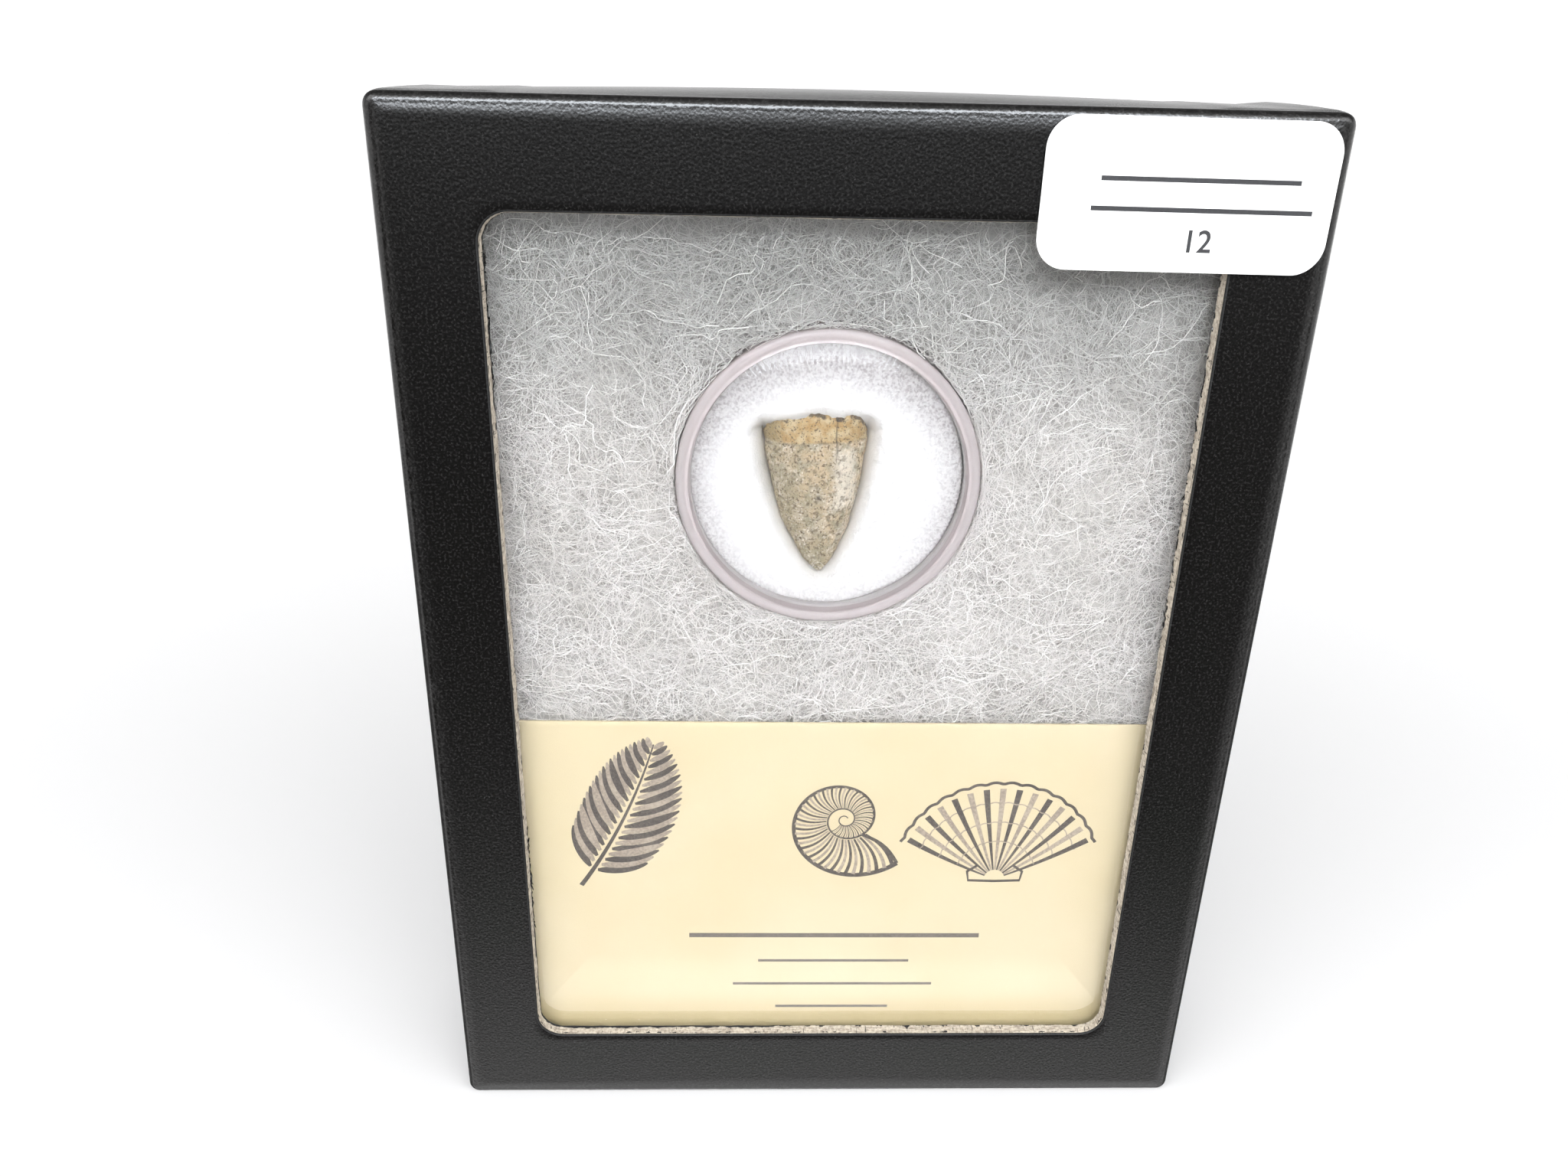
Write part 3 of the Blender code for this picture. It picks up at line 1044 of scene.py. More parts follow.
def arc(middle: Point, radius: float, start: float, end: float, steps: int = 5) -> list[Point]:
    """Points of a profile on an arc.

    Args:
        middle: the arc's middle, as a distance from the axis and a depth.
        radius: its radius.
        start: where it starts, in degrees from straight out, growing towards greater depth.
        end: where it ends.
        steps: how many steps it has.

    Returns:
        The points, as distances from the axis and depths.
    """
    turns = [math.radians(start + (end - start) * step / steps) for step in range(steps + 1)]
    return [(middle[0] + radius * math.cos(turn), middle[1] + radius * math.sin(turn)) for turn in turns]


def turned_rows(profile: Sequence[Point], middle: Point, around: int,
                swell: Callable[[Array, float, float], Array] | None = None) -> Array:
    """Rows for a piece turned round an axis along Y.

    Args:
        profile: distances from the axis and depths.
        middle: the x and z of the axis.
        around: how many columns it has.
        swell: gives what is added to the distance from the axis, from the angles, the distance and the
            depth.

    Returns:
        Points by row and column.
    """
    turns = np.linspace(0.0, 2 * math.pi, around, endpoint=False)
    rows = []
    for radius, depth in profile:
        reach = radius + (swell(turns, radius, depth) if swell else 0.0)
        rows.append(in_space(polar(reach, turns) + middle, depth))
    return np.array(rows)


@dataclass
class Lid:
    """The lid: black paper over board, with the window cut through its front."""

    edge: float = 0.9 * MM
    corner: float = 1.25 * MM
    roll: float = 0.12 * MM
    roll_reach: float = 1.5 * MM
    board: float = 1.3 * MM
    window_width: float = 65.0 * MM
    window_height: float = 90.6 * MM
    window_x: float = -0.15 * MM
    window_z: float = 54.5 * MM
    window_corner: float = 2.6 * MM
    lip: float = 0.20 * MM
    bevel: float = 0.15 * MM
    back_round: float = 0.35 * MM
    bow: float = 0.64 * MM
    bow_depth: float = 16.5 * MM
    fold: float = 0.12 * MM
    fold_inset: float = 1.6 * MM
    fold_spread: float = 1.3 * MM
    right_fold: float = 3.0
    flare: float = 0.45 * MM
    foot: float = 0.05 * MM
    overlap: float = 0.09 * MM
    warp: float = 0.10 * MM
    warp_size: float = 17 * MM
    tear: float = 0.07 * MM
    tear_size: float = 0.55 * MM
    sliver_count: int = 26
    sliver_length: float = 1.7 * MM
    torn_left: tuple[Point, ...] = ((97.0 * MM, 84.5 * MM), (36.0 * MM, 24.0 * MM))
    torn_right: tuple[Point, ...] = ((92.0 * MM, 60.0 * MM),)

    def outline(self, inset: float) -> Array:
        """The lid's outline, drawn in by an inset."""
        return box_loop(LID_LOW, LID_HIGH, inset, max(self.corner - inset, 0.15 * MM))

    def opening(self, growth: float) -> Array:
        """The window's outline, grown outwards."""
        sizes = (self.window_width / 2, self.window_height / 2, self.window_corner)
        return rounded_loop(*(size + growth for size in sizes)) + (self.window_x, self.window_z)

    def settle(self, rows: Array) -> Array:
        """Bow the top wall, raise the folded corners and the paper's overlaps, and warp the board.

        Args:
            rows: points by row and column.

        Returns:
            The moved points.
        """
        x, z = rows[..., 0], rows[..., 2]
        depth = rows[..., 1] - FRONT_Y
        half, top = LID_HIGH.x, LID_HIGH.z
        on_top = ramp(z, top - 2.2 * MM, top - 0.6 * MM)
        back = 1.0 - np.clip(1.0 - (depth - self.edge) / self.bow_depth, 0.0, 1.0) ** 2.4
        back *= ramp(depth, 0.5 * self.edge, 1.5 * self.edge)
        span = np.clip(1.0 - (x / half) ** 2, 0.0, 1.0) ** 1.1
        corner = np.exp(-((np.abs(x) - half + self.fold_inset) / self.fold_spread) ** 2)
        peak = self.fold * corner * np.where(x > 0, self.right_fold, 1.0)
        lift = on_top * back * (self.bow * span + peak)
        outer = ramp(depth, self.edge, self.edge + 0.4 * MM)
        ends = ramp(np.abs(x), half - 11.2 * MM, half - 11.0 * MM)
        foot = ramp(-z, -0.5 * MM, -0.2 * MM)
        skin_top = ramp(z, top - 0.5 * MM, top - 0.2 * MM)
        lift += outer * ends * self.overlap * skin_top
        between = ramp(half - np.abs(x), 1.0 * MM, 2.4 * MM)
        lift += between * ramp(-z, -0.4 * MM, -0.1 * MM) * self.foot
        moved = rows.copy()
        moved[..., 2] += lift + outer * ends * self.overlap * foot
        warp = noise_at(rows, self.warp_size, 2)
        side = ramp(np.abs(x), half - 2 * MM, half - 0.6 * MM) * outer
        moved[..., 0] += np.sign(x) * side * (warp * self.warp)
        right = ramp(x, half - 1.2 * MM, half - 0.2 * MM) * ramp(depth, 0.2 * MM, 2.2 * MM)
        moved[..., 0] += right * ramp(z, 45 * MM, 107 * MM) * self.flare
        return moved

    def shell(self) -> Piece:
        """The wrapped board itself.

        Returns:
            The piece, with paper and bare cut board as its two materials.
        """
        depth = LID_HIGH.y - LID_LOW.y
        rows: list[Array] = []
        wear: list[Point] = []

        def add(loop: Array, at: Any, edge: float = 0.0, crease: float = 0.0) -> None:
            """Add a row at a depth, with its shares of edge wear and of crease."""
            rows.append(in_space(loop, at))
            wear.append((edge, crease))

        inner, outer = self.opening(self.lip + self.bevel), self.outline(self.edge)
        reach = np.linalg.norm(outer - inner, axis=1)
        for share in np.concatenate((np.linspace(0.0, 0.76, 9), np.linspace(0.78, 1.0, 12))):
            rolled = np.clip(1 - reach * (1 - share) / self.roll_reach, 0.0, 1.0)
            add(inner * (1 - share) + outer * share, self.roll * rolled ** 2, float(share == 1.0))
        for turn in np.linspace(0.17, math.pi / 2, 10):
            drop = self.roll + (self.edge - self.roll) * (1 - math.cos(turn))
            add(self.outline(self.edge * (1 - math.sin(turn))), drop, 1.0)
        for at in np.linspace(self.edge, depth - self.back_round, 16)[1:]:
            add(self.outline(0.0), at)
        for turn in np.linspace(0.0, math.pi / 2, 4)[1:]:
            drop = self.back_round * (1 - math.sin(turn))
            add(self.outline(self.back_round * (1 - math.cos(turn))), depth - drop, 1.0)
        add(self.outline(self.board - 0.1 * MM), depth, 0.3)
        for at in np.linspace(depth - 0.1 * MM, self.board, 5):
            add(self.outline(self.board), at)
        for share in np.linspace(1.0, 0.0, 5)[1:]:
            add(self.opening(0.0) * (1 - share) + self.outline(self.board) * share, self.board)
        first_cut = len(rows) - 1
        for at in np.linspace(self.board, self.lip, 8)[1:]:
            add(self.opening(self.bevel * (self.board - at) / (self.board - self.lip)), at)
        last_cut = len(rows) - 1
        for turn in np.linspace(0.0, math.pi / 2, 4)[1:-1]:
            growth = self.bevel + self.lip * (1 - math.cos(turn))
            add(self.opening(growth), self.lip * (1 - math.sin(turn)), crease=1.0)

        points = np.array(rows)
        torn = noise_at(points[first_cut:last_cut], self.tear_size, 3)
        middle = np.array((self.window_x, 0.0, self.window_z))
        away = points[first_cut:last_cut] - middle
        away[..., 1] = 0.0
        away /= np.linalg.norm(away, axis=-1, keepdims=True)
        points[first_cut:last_cut] += away * (torn * self.tear)[..., None]
        lips = np.zeros(points.shape[:2])
        across = np.linspace(1, -1, last_cut - first_cut)[:, None]
        x, z = points[first_cut:last_cut, :, 0], points[first_cut:last_cut, :, 2]
        ragged = ramp(-x, 0.0, 10 * MM) * (ramp(z, 80 * MM, 84 * MM) + ramp(-z, -36 * MM, -32 * MM))
        lips[first_cut:last_cut] = np.where(across > 0, np.abs(across) * (0.75 + 1.1 * ragged),
                                            across ** 2 * 0.7)
        smooth = (ramp(points[..., 1] - FRONT_Y, 5.0 * MM, 12.0 * MM)
                  * ramp(points[..., 2], LID_HIGH.z - 0.5 * MM, LID_HIGH.z - 0.1 * MM))
        edge, crease = (by_row(values, points) for values in zip(*wear))
        marks = {"edge": edge, "crease": crease, "lip": lips, "smooth": smooth}
        piece = skin("lid_wrapped_board", self.settle(points), marks, Closing.RING)
        dress(piece, BLACK_PAPER, CUT_BOARD)
        around = points.shape[1]
        for face in piece.data.polygons[first_cut * around:last_cut * around]:
            face.material_index = 1
        return piece

    def slivers(self) -> Piece:
        """Torn black paper along the window's left and right edges.

        Returns:
            The piece, grown by Geometry Nodes along the two edges.
        """
        recipe = Recipe("torn_paper", {"Count": "Int", "Length": "Float"})
        path = recipe.node("GeometryNodeMeshToCurve", {}, {"Mesh": recipe.source})
        points = recipe.node("GeometryNodeCurveToPoints", {"mode": "COUNT"},
                             {"Curve": path, "Count": recipe.given("Count")})
        flake = recipe.node("GeometryNodeMeshIcoSphere", {}, {"Radius": 0.5, "Subdivisions": 1})
        turn = recipe.random((-0.5, -0.35, -0.6), (0.5, 0.35, 0.6), 4)
        long = recipe.random(0.0, 1.0, 9) ** 1.8 + 0.15
        length = long * recipe.given("Length")
        size = recipe.join(recipe.random(0.07 * MM, 0.18 * MM, 2), 0.14 * MM, length)
        flakes = recipe.put(flake, points, turn, size)
        shift = (0.05 * MM, 0.10 * MM, 0.4 * MM)
        jitter = recipe.random(tuple(-share for share in shift), shift, 7)
        recipe.finish(recipe.node("GeometryNodeSetPosition", {}, {"Geometry": flakes, "Offset": jitter}))
        left = self.window_x - self.window_width / 2 + 0.04 * MM
        right = self.window_x + self.window_width / 2 - 0.04 * MM
        y = FRONT_Y + (self.board - 0.16 * MM)
        torn = [(left, *span) for span in self.torn_left] + [(right, *span) for span in self.torn_right]
        base = bpy.data.meshes.new("window_sides")
        base.from_pydata([(x, y, z) for x, *span in torn for z in span],
                         [(2 * number, 2 * number + 1) for number in range(len(torn))], [])
        values = {"Count": self.sliver_count, "Length": self.sliver_length}
        return recipe.grow("window_edge_slivers", base, BLACK_PAPER, values)

    def build(self) -> None:
        """Make the lid and its torn paper, and tie them to the frame."""
        fix(self.shell(), "black_wrap", "lid")
        fix(self.slivers(), "black_wrap")


@dataclass
class Tray:
    """The tray that the lid slides over; its back is the back of the box."""

    board: float = 1.3 * MM
    edge: float = 0.5 * MM
    rim: float = 0.25 * MM
    warp: float = 0.16 * MM
    warp_size: float = 23 * MM

    def outline(self, inset: float) -> Array:
        """The tray's outline, drawn in by an inset."""
        size, middle = (TRAY_HIGH - TRAY_LOW) / 2, (0.0, (TRAY_LOW.z + TRAY_HIGH.z) / 2)
        return rounded_loop(size.x - inset, size.z - inset, max(self.edge - inset, 0.12 * MM)) + middle

    def build(self) -> None:
        """Make the tray from its floor inside to the middle of its back, and tie it to the frame."""
        front, back = depth_of("tray")
        floor, rim = back - self.board, self.rim
        middle = self.outline(0.0).mean(axis=0)
        rows: list[Array] = []
        edges: list[float] = []

        def add(loop: Array, at: float, edge: float = 0.0) -> None:
            """Add a row at a depth, with its share of edge wear."""
            rows.append(in_space(loop, at))
            edges.append(edge)

        for share in evenly(5):
            add(middle + (self.outline(self.board) - middle) * share, floor)
        for at in np.linspace(floor, front + rim, 6)[1:]:
            add(self.outline(self.board), at)
        for turn in np.linspace(0.0, math.pi, 7)[1:]:
            inset = self.board / 2 * (1 + math.cos(turn))
            add(self.outline(inset), front + rim * (1 - math.sin(turn)), 0.5)
        for at in np.linspace(front + rim, back - self.edge, 8)[1:]:
            add(self.outline(0.0), at)
        for turn in np.linspace(0.0, math.pi / 2, 6)[1:]:
            inset, drop = self.edge * (1 - math.cos(turn)), self.edge * (1 - math.sin(turn))
            add(self.outline(inset), back - drop, 1.0)
        for share in np.linspace(1.0, 0.0, 25)[1:]:
            add(middle + (self.outline(self.edge) - middle) * share, back)

        points = np.array(rows)
        warp = np.maximum(noise_at(points, self.warp_size, 2), 0.0)
        on_back = ramp(points[..., 1] - FRONT_Y, back - 0.05 * MM, back)
        points[..., 1] -= on_back * warp * self.warp
        piece = skin("tray_wrapped_board", points, {"edge": by_row(edges, points)})
        fix(dress(piece, TRAY_PAPER), "tray_wrap", "tray")


@dataclass
class WindowGlass:
    """The sheet of glass behind the lid's window."""

    corner: float = 0.35 * MM
    arris: float = 0.12 * MM

    def build(self) -> None:
        """Make the sheet with its ground edges, and tie it to the frame."""
        outline = partial(box_loop, *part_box("window_glass"), radius=self.corner, sides=8, corner=4)
        front, back = depth_of("window_glass")
        piece = skin("window_sheet", plate_rows(outline, front, back, self.arris))
        fix(dress(piece, SHEET_GLASS), "window_glass", "window_glass")


@dataclass
class Jar:
    """The round clear jar: a lid with a skirt over a cup."""

    lid_wall: float = 0.6 * MM
    lid_top: float = 1.0 * MM
    rim: float = 1.2 * MM
    cup_wall: float = 0.75 * MM
    cup_floor: float = 1.0 * MM
    fillet: float = 0.45 * MM
    ribs: int = 158
    rib_height: float = 0.045 * MM
    groove: float = 0.12 * MM
    groove_ribs: float = 0.03 * MM
    skirt_round: float = 0.14 * MM
    cup_round: float = 0.15 * MM
    cup_heel: float = 0.5 * MM

    def __post_init__(self) -> None:
        """Read the jar's place from the frame."""
        self.middle, self.radius = round_box("jar_lid")
        self.front, self.skirt = depth_of("jar_lid")

    def lid(self) -> Piece:
        """The jar's lid.

        Returns:
            The piece, its clear front and its lilac skirt as two materials.
        """
        radius, front, inside = self.radius, self.front, self.radius - self.lid_wall
        under, bottom = front + self.lid_top, front + self.groove
        tip, ridge = self.skirt_round, radius - self.rim
        profile = [(0.0, front), (radius * 0.5, front), (ridge, front), (ridge + 0.12 * MM, bottom),
                   (ridge + 0.34 * MM, bottom), (ridge + 0.46 * MM, front)]
        profile += arc((radius - self.fillet, front + self.fillet), self.fillet, -90.0, 0.0, 7)
        profile += [(radius, front + 1.4 * MM), (radius, front + 2.6 * MM), (radius, self.skirt - tip)]
        profile += arc((radius - tip, self.skirt - tip), tip, 0.0, 90.0, 3)
        profile += arc((inside + tip, self.skirt - tip), tip, 90.0, 180.0, 3)
        profile += [(inside, under + 1.5 * MM)]
        profile += arc((inside - 0.2 * MM, under + 0.2 * MM), 0.2 * MM, 0.0, -90.0, 4)
        profile += [(inside - 0.9 * MM, under), (0.0, under)]

        def swell(turns: Array, reach: float, depth: float) -> Array:
            """Fine ribs round the groove of the lid's front."""
            return float(depth == bottom) * self.groove_ribs * np.cos(turns * self.ribs)

        rows = turned_rows(profile, self.middle, self.ribs * 4, swell)
        piece = skin("jar_clear_lid", rows, sharp=60)
        dress(piece, STYRENE, STYRENE_SKIRT)
        axis = Vector((self.middle[0], 0.0, self.middle[1]))
        for face in piece.data.polygons:
            away = (face.center - axis) * Vector((1.0, 0.0, 1.0))
            face.material_index = int(away.length > radius - self.rim)
        return piece

    def cup(self) -> Piece:
        """The jar's cup, with fine ribs round its rim that the lid grips.

        Returns:
            The piece, not yet dressed.
        """
        _, outside = round_box("jar_cup")
        inside = outside - self.cup_wall
        rim, back = depth_of("jar_cup")
        floor, last_rib = back - self.cup_floor, rim + 2.4 * MM
        tip, heel = self.cup_round, self.cup_heel

        def swell(turns: Array, radius: float, depth: float) -> Array:
            """The ribs' height round the outer wall, near the rim."""
            share = float(radius > outside - 0.05 * MM and rim + tip < depth < last_rib)
            return share * self.rib_height * np.maximum(np.cos(turns * self.ribs), -0.2)

        profile = [(0.0, floor), (inside - 0.6 * MM, floor)]
        profile += arc((inside - 0.35 * MM, floor - 0.35 * MM), 0.35 * MM, 90.0, 0.0, 4)
        profile += [(inside, rim + 3.0 * MM)]
        profile += arc((inside + tip, rim + tip), tip, 180.0, 270.0, 3)
        profile += arc((outside - tip, rim + tip), tip, 270.0, 360.0, 3)
        profile += [(outside, rim + 0.4 * MM), (outside, last_rib - 0.2 * MM),
                    (outside, last_rib + 0.2 * MM), (outside, back - heel)]
        profile += arc((outside - heel, back - heel), heel, 0.0, 90.0, 5) + [(0.0, back)]
        rows = turned_rows(profile, self.middle, self.ribs * 6, swell)
        return skin("jar_clear_cup", rows, sharp=50)

    def build(self) -> None:
        """Make both pieces of the jar, and tie them to the frame."""
        fix(self.lid(), "clear_jar", "jar_lid")
        fix(dress(self.cup(), STYRENE_CUP), "clear_jar", "jar_cup")


@dataclass
class FossilTooth:
    """The fossil tooth, tip down, its broken base up; s runs from 0 at the tip to 1 at the base."""

    axis_x: float = -2.9 * MM
    top: float = 81.6 * MM
    length: float = 16.6 * MM
    half_width: float = 5.1 * MM
    half_thickness: float = 3.4 * MM
    middle_depth: float = 8.7 * MM
    tip_shift: float = 0.7 * MM
    tip_forward: float = 1.7 * MM
    fullness: float = 1.95
    bluntness: float = 0.72
    root_share: float = 0.177
    ledge: float = 0.13 * MM
    hollow: float = 0.8 * MM
    shoulder: float = 1.2 * MM
    chip: float = 0.15 * MM
    front_chips: tuple[Point, ...] = (
        (-1.0, -2.40), (-0.93, -1.62), (-0.86, -1.30), (-0.78, -1.04), (-0.68, -0.76), (-0.55, -0.60),
        (-0.36, -0.56), (-0.31, -0.48), (-0.24, -0.24), (-0.11, -0.06), (0.01, 0.0), (0.20, -0.08),
        (0.27, -0.31), (0.40, -0.43), (0.54, -0.54), (0.59, -0.18), (0.69, -0.29), (0.80, -0.58),
        (0.90, -1.12), (0.96, -1.65), (1.0, -2.30))
    break_slope: float = 2.2 * MM
    sunk: float = 1.1 * MM
    crack_turn: float = math.radians(-66.5)
    crack_end: float = 0.34
    around: int = 288
    crown_rows: int = 236
    break_rows: int = 44

    def width(self, s: Array) -> Array:
        """The width at s as a share of the greatest."""
        return (1.0 - (1.0 - s) ** self.fullness) ** self.bluntness

    def axis(self, s: Array) -> tuple[Array, Array, Array]:
        """The tooth's middle line.

        Args:
            s: places along it.

        Returns:
            Their x, depths and heights.
        """
        away = 1.0 - s
        depth = self.middle_depth - self.tip_forward * away ** 1.5
        return self.axis_x + self.tip_shift * away ** 2, depth, self.top - self.length * away

    def rim(self, turn: Array) -> Array:
        """How far the broken rim stands above the tooth's top.

        Args:
            turn: angles round the axis.

        Returns:
            The heights, most of them below 0.
        """
        chips = np.sin(5 * turn + 0.7) + 0.6 * np.sin(11 * turn) + 0.4 * np.sin(17 * turn + 2.0)
        behind = self.chip * (chips - 4.0) - self.shoulder * np.abs(np.cos(turn)) ** 2
        across, heights = np.array(self.front_chips).T
        front = np.interp(np.cos(turn), across, heights * MM)
        share = ramp(-np.sin(turn), -0.1, 0.1)
        return front * share + behind * (1 - share)

    def front_rim(self, across: Array) -> Array:
        """The height of the front of the rim, across it from -1 to 1."""
        return self.top + self.rim(-np.arccos(np.clip(across, -1, 1)))

    def build(self) -> None:
        """Make the tooth with its ledge, pits, crack and chips, and tie it to the frame."""
        turn = np.linspace(0.0, 2 * math.pi, self.around, endpoint=False) - math.pi / 2
        crown = (1.0 - evenly(self.crown_rows)) ** 1.25
        inwards = evenly(self.break_rows + 1)[1:]
        s = np.concatenate((1.0 - crown, np.ones(self.break_rows)))[:, None]
        reach = np.concatenate((np.ones(self.crown_rows), 1.0 - inwards ** 1.15))[:, None]
        away = 1.0 - s
        wide = self.width(s) * reach
        x0, depth0, z0 = self.axis(s)
        cosine, sine = np.cos(turn)[None, :], np.sin(turn)[None, :]
        bare = np.stack(np.broadcast_arrays(x0 + self.half_width * wide * cosine,
                                            FRONT_Y + depth0 + self.half_thickness * wide * sine,
                                            z0 + 0.0 * cosine), axis=-1)

        wander = noise_at(bare, 3.5 * MM, 2)
        straight = 0.018 * np.cos(turn) ** 2 - 0.015 * np.cos(turn) - 0.006
        line = self.root_share + 0.008 * wander + straight[None, :]
        below = ramp(away, line - 0.004, line + 0.010)
        lumps = noise_at(bare, 2.3 * MM, 3, 3.0)
        fine = noise_at(bare, 0.55 * MM, 3, 7.0)
        pit_field = noise_at(bare, 0.42 * MM, 2, 11.0)
        pits = ramp(pit_field, 0.26, 0.48) * (0.25 + 0.75 * below)
        grooves = np.sin(turn * 21 + wander * 1.6) ** 6 * ramp(away, 0.15, 0.5)
        sway = 0.02 * np.sin(away * 34) + 0.05 * wander
        crack_gap = np.abs(turn[None, :] - self.crack_turn - sway) * self.half_width * wide
        crack = (1 - ramp(crack_gap, 0.02 * MM, 0.10 * MM)) * ramp(-away, -self.crack_end, -0.2)
        swell = self.ledge * below + lumps * 0.13 * MM + fine * 0.045 * MM
        swell -= pits * 0.085 * MM + grooves * 0.02 * MM + crack * 0.16 * MM
        tip_fade = ramp(self.width(s), 0.0, 0.25)
        swell = swell * (0.25 + 0.75 * tip_fade) * reach

        broken = noise_at(bare, 0.9 * MM, 4, 5.0)
        height = self.rim(turn)[None, :] * reach * np.maximum(0, 1 - 6 * away)
        height = -self.hollow * (1 - reach ** 2) + height
        torn = ramp(s, 0.985, 1.0) * (broken * 0.20 * MM)
        torn += ramp(s, 0.94, 1.0) * fine * 0.10 * MM
        rows = bare.copy()
        rows[..., 0] += swell * cosine
        rows[..., 1] += swell * sine
        nearest = self.middle_depth - self.half_thickness * np.sqrt(1 - (cosine * reach) ** 2)
        slope = ramp(bare[..., 1] - FRONT_Y - nearest, 0.1 * MM, 1.7 * MM)
        rows[..., 2] += height + torn - self.break_slope * slope * ramp(s, 0.60, 1.0)
        rows[0, :, :] = rows[0].mean(axis=0)
        rows[-1, :, :] = rows[-1].mean(axis=0)

        front = np.clip(-sine, 0.0, 1.0) ** 0.8
        side = (rows[..., 0] - x0) / self.half_width
        drop = (self.top - rows[..., 2]) / MM
        root = (1 - below) * ramp(s, 0.8, 0.83)
        rim_band = ramp(s + 0.030 * broken, 0.974, 0.992)
        brown_bits = rim_band * ramp(broken + 0.5 * fine, -0.06, 0.14)
        top_face = ramp(-reach, -0.98, -0.93) * ramp(broken, -0.1, 0.3) * 0.6
        ledge_line = np.exp(-((away - line - 0.003) / 0.008) ** 2) * ramp(fine, -0.1, 0.35) * 0.5
        spot = np.exp(-(((side - 0.03) * 5.2) ** 2 + (drop - 8.4) ** 2) / 0.06) * front
        marks = {
            "root": root,
            "pits": pits * 0.55,
            "stain": np.clip(brown_bits * 0.9 + top_face * 0.4 + ledge_line + crack * 0.85 + spot, 0, 1),
            "pale": ramp(side, 0.25, 0.5) * ramp(-side, -0.85, -0.7)
            * ramp(drop, 3.0, 4.5) * ramp(-drop, -10.5, -8.5) * front,
            # dusk: darker towards the tip, on the left half and down a middle stripe, as painted shade over
            # the tooth's own olive
            "dusk": np.clip(ramp(drop, 11.0, 16.0) * 0.5
                            + ramp(-side, 0.0, 0.5) * (0.5 + 0.5 * ramp(drop, 4.0, 9.0))
                            + np.exp(-((side - 0.02) / 0.13) ** 2) * ramp(drop, 5.0, 9.0) * 0.7,
                            0, 1),
            "flank": ramp(-side, 0.55, 0.85) + 0.4 * ramp(side, 0.6, 0.95),
        }
        marks = {name: np.broadcast_to(value, rows.shape[:2]) for name, value in marks.items()}
        piece = skin("fossil_tooth", rows, marks, sharp=180)
        fix(dress(piece, FOSSIL), "fossil_tooth", "tooth")


